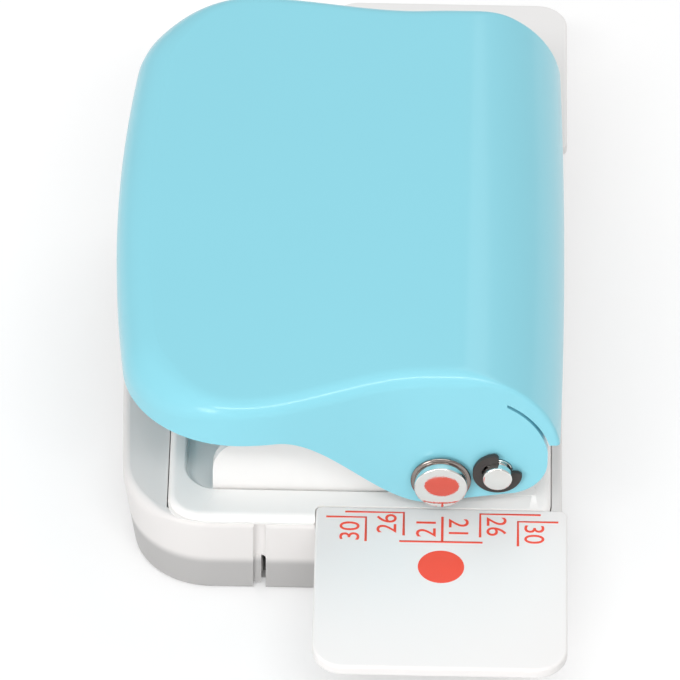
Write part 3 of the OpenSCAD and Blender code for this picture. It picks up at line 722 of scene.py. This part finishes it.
def lever_form(s, name, inset, depth):
    """The closed form under the lever's top, with its bends, drawn in by inset and reaching down to depth."""
    columns = CURVE_STEPS
    support = 0.0004
    bends = span(math.pi / 2, 0, FILLET_STEPS)
    rows = lever_rows(s, inset, depth)
    roll_x = roll_centre(s)[0]
    first_corner = len(rows) - 1 - CORNER_STEPS
    points, faces = [], []

    def strip(lines):
        """Faces between neighbouring lines of as many points."""
        start, count = len(points), len(lines[0])
        points.extend(p for line in lines for p in line)
        for i in range(len(lines) - 1):
            for k in range(count - 1):
                a = start + i * count + k
                faces.append((a, a + 1, a + count + 1, a + count))

    def bend_line(row, side):
        """From the top down round the bend and the wall, on the side -1 or 1."""
        (x, half, z), (nx, nz), (px, py), r = row
        line = []
        for b in bends:
            inward, drop = r * (1 - math.cos(b)), r * (1 - math.sin(b))
            line.append((x + px * inward - nx * drop, side * (half - py * inward), z - nz * drop))
        low = line[-1]
        line.append((low[0], low[1], max(low[2] - support, depth)))
        line.append((low[0], low[1], depth))
        return line

    front = front_radius(s) - inset - rows[-1][3]
    top = []
    for i, row in enumerate(rows):
        (x, half, z), _, (px, py), r = row
        edge_y = half - py * r
        bowed = smooth_step((i - first_corner) / CORNER_STEPS)
        back = s.back_bow * smooth_step((x - roll_x) / s.roll)
        near = support / (2 * edge_y)
        line = []
        for t in [0, *span(near, 1 - near, columns), 1]:
            y = edge_y * (2 * t - 1)
            bow = bowed * (math.sqrt(front ** 2 - y ** 2) - math.sqrt(front ** 2 - edge_y ** 2))
            line.append((x + px * r + back * (1 - (y / edge_y) ** 2) - bow, y, z))
        top.append(line)
    strip(top)
    for side in (-1, 1):
        strip([bend_line(row, side) for row in rows])
    nose = []
    r = rows[-1][3]
    for x, y, z in top[-1]:
        aside = y / front
        ahead = math.sqrt(1 - aside ** 2)
        line = [(x - ahead * r * math.cos(b), y + aside * r * math.cos(b), z - r * (1 - math.sin(b)))
                for b in bends]
        low = line[-1]
        nose.append(line + [(low[0], low[1], low[2] - support), (low[0], low[1], depth)])
    strip(nose)
    return solid(name, points, faces)


def lever_side(s):
    """What is left of the lever seen from the side, in X and Z."""
    beyond = 0.005
    tangent = math.radians(-75)
    handle_z = LEVER_HI.z - s.drop - s.skirt
    sweep_x0, sweep_x1 = HOLE_X - s.sweep_start, HOLE_X - s.sweep_end
    end_x, end_z = PIVOT_X + s.cheek_past, PIVOT_Z + s.cheek_up
    roll_end_z = roll_centre(s)[1] + s.roll * math.sin(s.roll_end)
    sweep = [(x, mixed(handle_z, LEVER_LO.z, smooth_step((x - sweep_x0) / (sweep_x1 - sweep_x0))))
             for x in span(sweep_x0, sweep_x1, CURVE_STEPS)]
    return ([(LEVER_LO.x - beyond, handle_z)] + sweep
            + arc(end_x, end_z, s.cheek_end, tangent, 0, CORNER_STEPS)
            + [(end_x + s.cheek_end, roll_end_z), (LEVER_HI.x + beyond, roll_end_z),
               (LEVER_HI.x + beyond, LEVER_HI.z + beyond), (LEVER_LO.x - beyond, LEVER_HI.z + beyond)])


def slit_outline(s):
    """The slit between a cheek and the rolled back, in X and Z."""
    x, z = roll_centre(s)
    x, z = x + s.slit_shift, z - s.slit_shift
    outer, inner = s.slit_radius + s.slit / 2, s.slit_radius - s.slit / 2
    past, lead = math.radians(4), math.radians(1)
    return (arc(x, z, outer, s.slit_start, s.roll_end - past, CURVE_STEPS)
            + arc(x, z, inner, s.roll_end - past, s.slit_start - lead, CURVE_STEPS))


class PUNCH_OT_lever(bpy.types.Operator):
    """Builds the pressed lever with its bends, slits and bores"""
    bl_idname = "punch.lever"
    bl_label = "Lever"

    def execute(self, context):
        s = context.scene.punch_lever
        wide, clear = LEVER_HI.y * 2, 0.0001
        sides = context.scene.punch_pins.sides
        lever = lever_form(s, "lever_shell", 0, 0)
        carve(lever, lever_form(s, "hollow", s.sheet, -s.sheet))
        carve(lever, drawn_along_y("side", lever_side(s), -wide, wide), "INTERSECT")
        inner, outer = cheek_y(s) - s.sheet - clear, cheek_y(s) + s.sheet
        for y0, y1 in ((inner, outer), (-outer, -inner)):
            carve(lever, drawn_along_y("slit", slit_outline(s), y0, y1))
        for x, z, lo, hi in ((STUD_X, STUD_Z, BAR_LO, BAR_HI), (PIVOT_X, PIVOT_Z, PIVOT_LO, PIVOT_HI)):
            radius = (hi.z - lo.z) / 2 + s.fit
            carve(lever, turned("bore", x, z, [(-wide, radius), (wide, radius)], sides))
        smoothed(lever)
        placed(lever, "lever", finish(context, "blue_paint"), ["lever"])
        return {"FINISHED"}


# The tray and the deck

def eased_loop(paper_loop, shelf_loop):
    """A loop that goes from one shape along the sides to another along the shelf."""
    start, end = DECK_LO.x, TRAY_LO.x / 2 + DECK_LO.x / 2
    loop = []
    for a, b in zip(paper_loop, shelf_loop):
        loop.append(tuple(Vector(a).lerp(Vector(b), smooth_step((start - a[0]) / (start - end)))))
    return loop


def tray_ring(s, z, grow):
    """The tray's outline as points at its own height."""
    return at_height(tray_loop(s, z, grow), z)


def tray_cup(s):
    """The bowl of the chip tray with rounded edges."""
    height, low = TRAY_HI.z, s.floor + s.edge
    inner_z = height - s.inner_rim
    flat = (s.wall - 2 * s.inner_rim) / s.shelf_rim
    loops = [tray_ring(s, s.edge - up, -inward) for inward, up in fillet(s.edge, False)]
    loops += [tray_ring(s, z, 0) for z in span(s.edge, height - s.shelf_rim, WALL_STEPS)[1:-1]]
    for (inward, up), (wide, tall) in zip(fillet(s.rim, True), fillet(s.shelf_rim, True)):
        loops.append(eased_loop(tray_ring(s, height - s.rim + up, -inward),
                                tray_ring(s, height - s.shelf_rim + tall, -wide * flat)))
    loops += [tray_ring(s, inner_z + up, inward - s.wall) for inward, up in fillet(s.inner_rim, False)]
    loops += [tray_ring(s, z, -s.wall) for z in span(inner_z, low, WALL_STEPS)[1:]]
    loops += [tray_ring(s, low - up, -s.wall - inward) for inward, up in fillet(s.edge, True)[1:]]
    return stack("tray_shell", loops)


def guide_cuts(s, g):
    """Forms that clear the paper guides and their tongues, at both ends."""
    beyond = 0.02
    plate_z = WING_HI.z - g.thickness - s.slide
    inner = TRAY_HI.y - g.lap - s.slide
    tongue = g.tongue / 2 + s.slide
    corner = g.inner_corner + s.slide
    plan = rounded_loop(WING_LO.x - s.slide, WING_HI.x + beyond, inner, inner + beyond, (corner,) * 4)
    for side in (-1, 1):
        loop = [(x, side * y) for x, y in plan]
        yield stack("plate", [at_height(loop, z) for z in (plate_z, plate_z + beyond)])
        y0, y1 = to_side(side, inner, inner + beyond)
        yield block("tongue", HOLE_X - tongue, HOLE_X + tongue, y0, y1, WING_LO.z - s.slide, plate_z + beyond)


def groove_loop(s, x, side, z):
    """The groove over a latch notch seen from above at height z, with rounded lips at the wall."""
    radius, lip, over = s.notch / 2, s.groove_lip, s.notch / 12
    wall_y = TRAY_HI.y - s.end_lean * (1 - z / TRAY_HI.z) + s.slide / 10
    reach = math.sqrt((radius + lip) ** 2 - (over + lip) ** 2)
    meet = math.atan2(over + lip, reach)
    half_turn = math.pi
    loop = ([(-reach, s.notch)] + arc(-reach, -lip, lip, half_turn / 2, meet, FILLET_STEPS)
            + arc(0, over, radius, half_turn + meet, 2 * half_turn - meet, CORNER_STEPS)[1:-1]
            + arc(reach, -lip, lip, half_turn - meet, half_turn / 2, FILLET_STEPS) + [(reach, s.notch)])
    return at_height([(x + along, side * (wall_y + out)) for along, out in loop], z)


class PUNCH_OT_tray(bpy.types.Operator):
    """Builds the frosted chip tray with its shelf, latch notches and grooves"""
    bl_idname = "punch.tray"
    bl_label = "Chip tray"

    def execute(self, context):
        s, g = context.scene.punch_tray, context.scene.punch_guides
        height, beyond, low = TRAY_HI.z, 0.01, 0.00001
        tray = tray_cup(s)
        plan = tray_loop(s, height, 2 * s.inner_rim - s.wall)
        shelf = stack("shelf", [at_height(plan, z) for z in (height - s.floor, height - low)])
        keep = block("keep", TRAY_LO.x - beyond, DECK_LO.x - s.shelf_gap, TRAY_LO.y, TRAY_HI.y,
                     0, height + beyond)
        carve(tray, carve(shelf, keep, "INTERSECT"), "UNION")
        left, right = -s.notch_back - s.notch / 2, -s.notch_back + s.notch / 2
        inner = TRAY_HI.y - s.wall - s.edge - s.end_lean
        face = TRAY_HI.y - s.end_lean - s.tab_in
        notches = ((left + s.tab, inner, s.notch_h), (left, face, s.notch_h), (left, inner, s.tab_low))
        for side in (-1, 1):
            for x0, depth, z1 in notches:
                y0, y1 = to_side(side, depth, depth + beyond)
                carve(tray, block("notch", x0, right, y0, y1, -beyond, z1))
            groove = [groove_loop(s, -s.notch_back, side, z) for z in (s.notch_h - low, height + beyond)]
            carve(tray, stack("groove", groove))
        for cut in guide_cuts(s, g):
            carve(tray, cut)
        smoothed(tray)
        placed(tray, "tray", finish(context, "frosted_plastic"), ["chip_tray"])
        return {"FINISHED"}


def deck_opening(s, end, grow):
    """The deck's opening seen from above, up to an end on the paper side, grown by the given distance."""
    y = FRAME_HI.y + s.frame_gap + grow
    near, far = s.deck_corner + grow, 2 * s.frame_gap + grow
    return rounded_loop(DECK_LO.x + s.deck_front - grow, end + grow, -y, y, (near, far, far, near))


def deck_dish(s):
    """The shallow floor of the opening behind the frame, which runs round into the deck."""
    low = DECK_Z - s.dish
    wide = FRAME_HI.y + 2 * s.frame_gap
    lap, under = 0.0001, 0.005
    floor = block("dish", DECK_LO.x + s.deck_front / 2, FRAME_LO.x + under, -wide, wide,
                  low - s.frame_gap * 2, TRAY_HI.z + lap)
    loops = [at_height(deck_opening(s, HOLE_X, -inward), low + s.dish_round - up)
             for inward, up in fillet(s.dish_round, False)]
    loops.append(at_height(deck_opening(s, HOLE_X, 0), DECK_Z + s.dish))
    return carve(floor, stack("hollow", loops))


def throat_ledges(s):
    """The deck's flat past the die at both ends of the paper throat."""
    proud = 0.00003
    x0, x1 = STOP_HI.x, FRAME_HI.x + s.frame_gap
    inner, outer = STOP_HI.y, FRAME_HI.y + 2 * s.frame_gap
    for y0, y1 in ((inner, outer), (-outer, -inner)):
        yield block("ledge", x0, x1, y0, y1, DECK_Z - s.frame_gap, DECK_Z + proud)


def deck_ring(s):
    """The flat of the deck round its opening, with rounded edges."""
    z0, z1 = TRAY_HI.z, DECK_Z
    far_x = DECK_HI.x + s.deck_grow

    def outer(inset, z):
        r = s.deck_corner - inset
        y = DECK_HI.y - s.deck_in - inset
        return at_height(rounded_loop(DECK_LO.x + inset, far_x - inset, -y, y, (r, r, r, r)), z)

    def inner(grow, z):
        return at_height(deck_opening(s, FRAME_HI.x + s.deck_back, grow), z)

    loops = [outer(0, z0)]
    loops += [outer(inward, z1 - s.deck_edge + up) for inward, up in fillet(s.deck_edge, True)]
    loops += [inner(inward, z1 - s.deck_lip + up) for inward, up in fillet(s.deck_lip, False)]
    loops.append(inner(0, z0))
    return stack("deck_shell", loops, ring=True)


def merged_copy(name, node):
    """A copy of a node of the frame, with its loose triangles joined."""
    copy = linked(name, frame["nodes"][node].data.copy())
    bm = bmesh.new()
    bm.from_mesh(copy.data)
    bmesh.ops.remove_doubles(bm, verts=bm.verts, dist=MERGE)
    bm.to_mesh(copy.data)
    bm.free()
    return copy


class PUNCH_OT_deck(bpy.types.Operator):
    """Builds the white deck with rounded edges over the frame's own skirt, pads and ledges"""
    bl_idname = "punch.deck"
    bl_label = "Deck"

    def execute(self, context):
        s, g = context.scene.punch_tray, context.scene.punch_guides
        beyond, overlap = 0.01, 0.0001
        deck = deck_ring(s)
        keep = block("keep", TRAY_LO.x, TRAY_HI.x, TRAY_LO.y, TRAY_HI.y, -beyond, TRAY_HI.z + overlap)
        carve(deck, carve(merged_copy("under", "deck"), keep, "INTERSECT"), "UNION")
        for piece in (deck_dish(s), *throat_ledges(s)):
            carve(deck, piece, "UNION")
        for cut in guide_cuts(s, g):
            carve(deck, cut)
        smoothed(deck)
        placed(deck, "punch", finish(context, "deck_plastic"), ["deck"])
        return {"FINISHED"}


# The paper guides

def guide_plate(g, side):
    """One paper guide with rounded edges and its tongue, at the end -1 or 1 of the row."""
    name = "wing_near_plate" if side < 0 else "wing_far_plate"
    z0, z1 = WING_HI.z - g.thickness, WING_HI.z
    y0, y1 = TRAY_HI.y - g.lap, WING_HI.y
    overlap = 0.0001

    def loop(inset, z):
        r0, r1 = g.inner_corner - inset, g.corner - inset
        points = rounded_loop(WING_LO.x + inset, WING_HI.x - inset, y0 + inset, y1 - inset, (r0, r0, r1, r1))
        return [(x, side * y, z) for x, y in points]

    loops = [loop(inward, z0 + g.edge - up) for inward, up in fillet(g.edge, False)]
    loops += [loop(inward, z1 - g.edge + up) for inward, up in fillet(g.edge, True)]
    plate = stack(name, loops)
    ends = to_side(side, WING_LO.y, y0 + WING_HI.z - WING_LO.z)
    tongue = block("tongue", HOLE_X - g.tongue / 2, HOLE_X + g.tongue / 2, *ends, WING_LO.z, z0 + overlap)
    return carve(plate, tongue, "UNION")


class PUNCH_OT_guides(bpy.types.Operator):
    """Builds the two flat paper guides"""
    bl_idname = "punch.guides"
    bl_label = "Paper guides"

    def execute(self, context):
        for side, node in ((-1, "wing_near"), (1, "wing_far")):
            plate = smoothed(guide_plate(context.scene.punch_guides, side))
            placed(plate, node, finish(context, "white_plastic"), [node])
        return {"FINISHED"}


def line_tree():
    """Nodes that turn a path into a flat printed line."""
    tree, given = new_tree("printed_line", Path="Geometry", Width="Float", Height="Float", Finish="Material")
    curve = added(tree, "GeometryNodeMeshToCurve", {"Mesh": given["Path"]})
    upright = added(tree, "GeometryNodeSetCurveNormal", {"Curve": curve.outputs["Curve"]}, mode="Z_UP")
    section = added(tree, "GeometryNodeCurvePrimitiveQuadrilateral", {
        "Width": given["Width"], "Height": given["Height"]})
    ribbon = added(tree, "GeometryNodeCurveToMesh", {
        "Curve": upright.outputs["Curve"], "Profile Curve": section.outputs["Curve"], "Fill Caps": True})
    return ended(tree, ribbon.outputs["Mesh"], given["Finish"])


def printed_paths(side):
    """The bracket lines on a guide as paths in X and Y, listed in millimetres from the row of holes."""
    brackets = [
        [(-13.75, 34.5), (-9.0, 34.5), (-9.0, 38.6)],
        [(-11.5, 33.6), (-4.5, 33.6), (-4.5, 37.5)],
        [(0.1, 34.2), (0.1, 38.4)],
        [(-5.0, 38.5), (4.9, 38.5)],
        [(11.8, 33.6), (4.6, 33.6), (4.6, 37.6)],
        [(13.9, 34.8), (9.1, 34.8), (9.1, 39.0)],
    ]
    return [[(HOLE_X + x / PER_METRE, side * y / PER_METRE) for x, y in path] for path in brackets]


def printed_lines(context, g, side, z):
    """The bracket lines of one guide as a mesh."""
    points, edges = [], []
    for path in printed_paths(side):
        edges += [(len(points) + i, len(points) + i + 1) for i in range(len(path) - 1)]
        points += [(x, y, z) for x, y in path]
    mesh = bpy.data.meshes.new("lines")
    mesh.from_pydata(points, edges, [])
    lines = linked("lines", mesh)
    modifier = lines.modifiers.new("lines", "NODES")
    modifier.node_group = line_tree()
    set_inputs(modifier, Width=g.line, Height=2 * g.ink, Finish=finish(context, "red_ink"))
    return baked(lines)


def printed_number(g, text, x, y, z, turn):
    """A number laid flat on a guide, turned about the vertical."""
    curve = bpy.data.curves.new("number", "FONT")
    curve.body = text
    curve.size = g.figure
    curve.align_x, curve.align_y = "CENTER", "CENTER"
    curve.extrude = g.ink
    label = linked("number", curve)
    graph = bpy.context.evaluated_depsgraph_get()
    mesh = bpy.data.meshes.new_from_object(label.evaluated_get(graph))
    bpy.data.objects.remove(label)
    mesh.transform(Matrix.Translation((x, y, z)) @ Matrix.Rotation(turn, 4, "Z"))
    return linked("number", mesh)


def printed_dot(g, side, z):
    """The round dot on the line of the row."""
    sides = 64
    circle = arc(HOLE_X, side * g.dot_y, g.dot / 2, 0, 2 * math.pi, sides)[:-1]
    return stack("dot", [at_height(circle, h) for h in (z - g.ink, z + g.ink)])


def printed_numbers(g, side, z):
    """The numbers beside the brackets of a guide, listed in millimetres from the row of holes."""
    quarter = math.pi / 2
    labels = [("30", -10.8, 36.9, quarter), ("26", -6.4, 35.5, quarter), ("21", -1.7, 36.1, quarter),
              ("21", 1.9, 36.1, -quarter), ("26", 6.4, 35.7, -quarter), ("30", 10.9, 36.9, -quarter)]
    return [printed_number(g, text, HOLE_X + x / PER_METRE, side * y / PER_METRE, z, turn)
            for text, x, y, turn in labels]


class PUNCH_OT_print(bpy.types.Operator):
    """Prints the red lines, numbers and dot on the paper guides"""
    bl_idname = "punch.print"
    bl_label = "Printed marks"

    def execute(self, context):
        g, z = context.scene.punch_guides, WING_HI.z
        for side, name, node in ((-1, "print_near", "wing_near"), (1, "print_far", "wing_far")):
            marks = [printed_lines(context, g, side, z), printed_dot(g, side, z)]
            marks += printed_numbers(g, side, z)
            placed(joined(name, marks), node, finish(context, "red_ink"))
        return {"FINISHED"}


# The pins

def grooved_profile(p, y_end, radius, groove_y, groove_w, middle):
    """Profile of a pin along Y with a groove near each domed end. Middle is its waist's (y, radius)."""
    floor, ease = radius - p.groove, p.chamfer / 4
    groove_end = groove_y + groove_w
    face = radius - p.chamfer
    dome = [(y_end - p.dome * t * t, face * t) for t in span(1, 0, FILLET_STEPS)]
    edge = [(y_end - p.dome - p.chamfer + up, radius - inward) for inward, up in fillet(p.chamfer, True)]
    half = [middle, (middle[0], radius - ease), (middle[0] + ease, radius),
            (groove_y - ease, radius), (groove_y, radius - ease), (groove_y, floor),
            (groove_end, floor), (groove_end, radius - ease), (groove_end + ease, radius)]
    half += edge + dome[1:]
    return [(-y, r) for y, r in half[::-1]] + half


def end_faces(obj, material):
    """Gives a second finish to a pin's domed ends, whose faces look along Y."""
    along = 0.96
    obj.data.materials.append(material)
    for face in obj.data.polygons:
        face.material_index = int(abs(face.normal.y) > along and abs(face.center.y) > CLIP_HI.y)


def clip_loop(x, z, inner, outer, mouth_start, mouth_end):
    """A spring clip with three lugs, open between two angles, as points in X and Z.

    Tip is the share of its length along which an end grows narrow. Scoop is the share of its width that is
    cut away between the lugs.
    """
    steps, lug, scoop = 96, 0.3, 0.36
    tip, narrow, blunt = 0.16, 0.42, 3
    sweep = 2 * math.pi - (mouth_end - mouth_start)

    def point(radius, t):
        a = mouth_end + sweep * t
        return x + radius * math.cos(a), z + radius * math.sin(a)

    points = []
    for t in span(0, 1, steps):
        end = min(t, 1 - t) / tip
        taper = 1 - narrow * (1 - math.sqrt(max(0, 1 - (1 - min(end * blunt, 1)) ** 2)))
        points.append(point(outer * taper, t))
    for t in span(1, 0, steps):
        wave = smooth_step(abs(math.cos(2 * math.pi * t)) * 2 - 1 + lug)
        points.append(point(mixed(mixed(inner, outer, scoop), inner, wave), t))
    return points


def snap_rings(p, ring_y, stud_r):
    """The round rings in the press bar's grooves."""
    section_steps = 24
    ring_r = (RING_HI.z - RING_LO.z) / 2
    core = (ring_r + stud_r - p.groove) / 2
    for side in (-1, 1):
        middle = side * (ring_y + p.ring / 2)
        section = [(middle + p.ring / 2 * math.cos(a), core + (ring_r - core) * math.sin(a))
                   for a in span(0, 2 * math.pi, section_steps)[:-1]]
        yield turned("ring", STUD_X, STUD_Z, section, p.sides, ring=True)


def spring_clips(p, clip_y, hole_r):
    """The open clips in the pivot pin's grooves."""
    clip_r = (CLIP_HI.x - CLIP_LO.x) / 2
    mouth = math.radians(8), math.radians(84)
    outline = clip_loop(PIVOT_X, PIVOT_Z, hole_r, clip_r, *mouth)
    for side in (-1, 1):
        clip = drawn_along_y("clip", outline, *to_side(side, clip_y, clip_y + p.clip))
        edge = clip.modifiers.new("edge", "BEVEL")
        edge.width = p.clip / 6
        edge.segments = 2
        edge.limit_method = "ANGLE"
        edge.angle_limit = math.radians(60)
        yield baked(clip)


class PUNCH_OT_pins(bpy.types.Operator):
    """Turns the press bar and the pivot pin, with their rings and clips"""
    bl_idname = "punch.pins"
    bl_label = "Pins and clips"

    def execute(self, context):
        p = context.scene.punch_pins
        play = 0.00002
        ring_y, clip_y = RING_HI.y - p.ring, CLIP_HI.y - p.clip
        stud_r, pivot_r = (BAR_HI.z - BAR_LO.z) / 2, (PIVOT_HI.z - PIVOT_LO.z) / 2
        waist_y = FRAME_HI.y + 2 * context.scene.punch_tray.frame_gap
        bar = turned("press_bar_turned", STUD_X, STUD_Z, grooved_profile(
            p, BAR_HI.y, stud_r, ring_y - play, p.ring + 2 * play, (waist_y, p.bar / 2)), p.sides)
        pin = turned("pivot_pin_turned", PIVOT_X, PIVOT_Z, grooved_profile(
            p, PIVOT_HI.y, pivot_r, clip_y - play, p.clip + 2 * play, (0.0, pivot_r)), p.sides)
        for obj, body, node in ((bar, "lever", "press_bar"), (pin, "punch", "pivot_pin")):
            placed(smoothed(obj), body, finish(context, "bright_steel"), [node])
            end_faces(obj, finish(context, "sanded_steel"))
        rings = smoothed(joined("press_bar_snap_rings", snap_rings(p, ring_y, stud_r)), degrees=50)
        placed(rings, "lever", finish(context, "spring_steel"), ["press_bar_rings"])
        clips = smoothed(joined("pivot_spring_clips", spring_clips(p, clip_y, pivot_r - p.groove + play)))
        placed(clips, "punch", finish(context, "black_steel"), ["pivot_clips"])
        return {"FINISHED"}


# The springs

def spring_tree():
    """Nodes that wind a spring and set one round each pin."""
    coil_steps, wire_steps = 32, 10
    tree, given = new_tree("return_springs", Seats="Geometry", Radius="Float", Height="Float", Turns="Float",
                           Wire="Float", Finish="Material")
    coil = added(tree, "GeometryNodeCurveSpiral", {
        "Resolution": coil_steps, "Rotations": given["Turns"], "Start Radius": given["Radius"],
        "End Radius": given["Radius"], "Height": given["Height"]})
    wire = added(tree, "GeometryNodeCurvePrimitiveCircle", {
        "Resolution": wire_steps, "Radius": given["Wire"]})
    tube = added(tree, "GeometryNodeCurveToMesh", {
        "Curve": coil.outputs["Curve"], "Profile Curve": wire.outputs["Curve"], "Fill Caps": True})
    seats = added(tree, "GeometryNodeInstanceOnPoints", {
        "Points": given["Seats"], "Instance": tube.outputs["Mesh"]})
    return ended(tree, seats.outputs["Instances"], given["Finish"])


class PUNCH_OT_springs(bpy.types.Operator):
    """Winds the six return springs"""
    bl_idname = "punch.springs"
    bl_label = "Return springs"

    def execute(self, context):
        p = context.scene.punch_pins
        low, gap = SPRING_LO.z, 0.00005
        mesh = bpy.data.meshes.new("springs_wound")
        mesh.from_pydata([(HOLE_X, y, low + p.wire / 2) for y in HOLE_YS], [], [])
        springs = linked("springs_wound", mesh)
        modifier = springs.modifiers.new("springs", "NODES")
        modifier.node_group = spring_tree()
        set_inputs(modifier, Radius=(SPRING_HI.x - SPRING_LO.x - p.wire) / 2,
                   Height=SPRING_HI.z - SPRING_LO.z - p.wire, Turns=p.turns, Wire=p.wire / 2,
                   Finish=finish(context, "plated_steel"))
        smoothed(baked(springs), degrees=60)
        placed(springs, "punch", finish(context, "plated_steel"), ["return_springs"])
        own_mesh(springs)
        return {"FINISHED"}


# The frame's own pieces

class PUNCH_OT_frame_finishes(bpy.types.Operator):
    """Gives the frame's own pieces their finishes"""
    bl_idname = "punch.frame_finishes"
    bl_label = "Finishes of the frame"

    def execute(self, context):
        for part in frame["record"]["subparts"]:
            mesh = frame["nodes"][part["node"]].data
            mesh.materials.clear()
            mesh.materials.append(finish(context, part["material_slot"]))
        return {"FINISHED"}


# The stage

def seen_directly(tree):
    """A value that is 1 where the camera sees a thing itself, mirrored or through clear plastic."""
    path = tree.nodes.new("ShaderNodeLightPath").outputs
    seen = path["Is Camera Ray"]
    for name in ("Is Glossy Ray", "Is Transmission Ray"):
        seen = worked(tree, "MAXIMUM", seen, path[name])
    return seen


def floor_finish(s):
    """A pale floor that keeps the shadow and comes out white."""
    material = bpy.data.materials.new("floor")
    material.use_nodes = True
    tree = material.node_tree
    tree.nodes.clear()
    level = worked(tree, "MULTIPLY", seen_directly(tree), s.glow)
    glow = added(tree, "ShaderNodeEmission", {"Color": WHITE, "Strength": level})
    paint = added(tree, "ShaderNodeBsdfDiffuse", {"Color": (s.floor, s.floor, s.floor, 1)})
    both = added(tree, "ShaderNodeAddShader", {0: glow.outputs["Emission"], 1: paint.outputs["BSDF"]})
    added(tree, "ShaderNodeOutputMaterial", {"Surface": both.outputs["Shader"]})
    return material


def laid_floor(s):
    """The floor, a little below the tray's underside."""
    half, low = 6.0, -0.00005
    loop = [(-half, -half, low), (half, -half, low), (half, half, low), (-half, half, low)]
    mesh = bpy.data.meshes.new("floor")
    mesh.from_pydata(loop, [], [(0, 1, 2, 3)])
    mesh.materials.append(floor_finish(s))
    return linked("floor", mesh)


def lamp(name, watts, place, width, height):
    """A soft lamp that faces the middle of the object."""
    light = bpy.data.lights.new(name, "AREA")
    light.shape = "RECTANGLE"
    light.energy = watts
    light.size, light.size_y = width, height
    obj = linked(name, light)
    obj.location = place
    obj.rotation_euler = (Vector((0, 0, LEVER_LO.z)) - obj.location).to_track_quat("-Z", "Y").to_euler()


def surroundings(s):
    """A white world, a little lighter overhead than at the horizon."""
    world = bpy.data.worlds.new("surroundings")
    world.use_nodes = True
    tree = world.node_tree
    place = added(tree, "ShaderNodeTexCoord", {})
    split = added(tree, "ShaderNodeSeparateXYZ", {"Vector": place.outputs["Generated"]})
    level = added(tree, "ShaderNodeMapRange", {
        "Value": split.outputs["Z"], "To Min": s.horizon, "To Max": s.zenith})
    sky = tree.nodes["Background"].inputs
    sky["Color"].default_value = WHITE
    tree.links.new(level.outputs["Result"], sky["Strength"])
    return world


def set_camera(s):
    """The camera at its place, turned by its three angles."""
    view = bpy.data.cameras.new("camera")
    view.sensor_width = s.sensor
    view.lens = s.lens
    level = math.cos(s.elevation)
    back = Vector((math.sin(s.azimuth) * level, -math.cos(s.azimuth) * level, math.sin(s.elevation)))
    right = Vector((math.cos(s.azimuth), math.sin(s.azimuth), 0))
    up = back.cross(right)
    across = math.cos(s.roll) * right + math.sin(s.roll) * up
    upward = math.cos(s.roll) * up - math.sin(s.roll) * right
    turn = Matrix((across, upward, back)).transposed().to_4x4()
    camera = linked("camera", view)
    camera.matrix_world = Matrix.Translation(s.camera) @ turn
    return camera


class PUNCH_OT_stage(bpy.types.Operator):
    """Sets the floor, the lamps, the surroundings and the camera"""
    bl_idname = "punch.stage"
    bl_label = "Stage"

    def execute(self, context):
        scene, s = context.scene, context.scene.punch_stage
        floor = laid_floor(s)
        lamp("key", s.key, place=(0.0, -0.71, 0.84), width=1.0, height=0.15)
        lamp("fill", s.fill, place=(-0.6, -0.9, 0.35), width=0.4, height=0.4)
        lamp("rear", s.rear, place=(0.35, 0.5, 0.8), width=0.6, height=0.6)
        scene.world = surroundings(s)
        scene.camera = set_camera(s)
        scene.view_settings.view_transform = "Standard"
        return {"FINISHED"}


class PUNCH_PT_panel(bpy.types.Panel):
    """Lists the pieces of the punch"""
    bl_idname = "PUNCH_PT_panel"
    bl_label = "Paper punch"
    bl_space_type = "VIEW_3D"
    bl_region_type = "UI"
    bl_category = "Punch"

    def draw(self, context):
        for operator in OPERATORS:
            self.layout.operator(operator.bl_idname)


SETTINGS = {
    "punch_lever": LeverSettings,
    "punch_tray": TraySettings,
    "punch_guides": GuideSettings,
    "punch_pins": PinSettings,
    "punch_finishes": FinishSettings,
    "punch_stage": StageSettings,
}
OPERATORS = (
    PUNCH_OT_stage,
    PUNCH_OT_frame_finishes,
    PUNCH_OT_lever,
    PUNCH_OT_tray,
    PUNCH_OT_deck,
    PUNCH_OT_guides,
    PUNCH_OT_print,
    PUNCH_OT_pins,
    PUNCH_OT_springs,
)


def register():
    for settings in SETTINGS.values():
        bpy.utils.register_class(settings)
    for name, settings in SETTINGS.items():
        setattr(bpy.types.Scene, name, PointerProperty(type=settings))
    for cls in (*OPERATORS, PUNCH_PT_panel):
        bpy.utils.register_class(cls)


def unregister():
    for cls in (PUNCH_PT_panel, *reversed(OPERATORS)):
        bpy.utils.unregister_class(cls)
    for name in SETTINGS:
        delattr(bpy.types.Scene, name)
    for settings in SETTINGS.values():
        bpy.utils.unregister_class(settings)


def main():
    register()
    bpy.ops.punch.stage()
    bpy.ops.punch.frame_finishes()
    bpy.ops.punch.lever()
    bpy.ops.punch.tray()
    bpy.ops.punch.deck()
    bpy.ops.punch.guides()
    bpy.ops.punch.print()
    bpy.ops.punch.pins()
    bpy.ops.punch.springs()


if __name__ == "__main__":
    main()
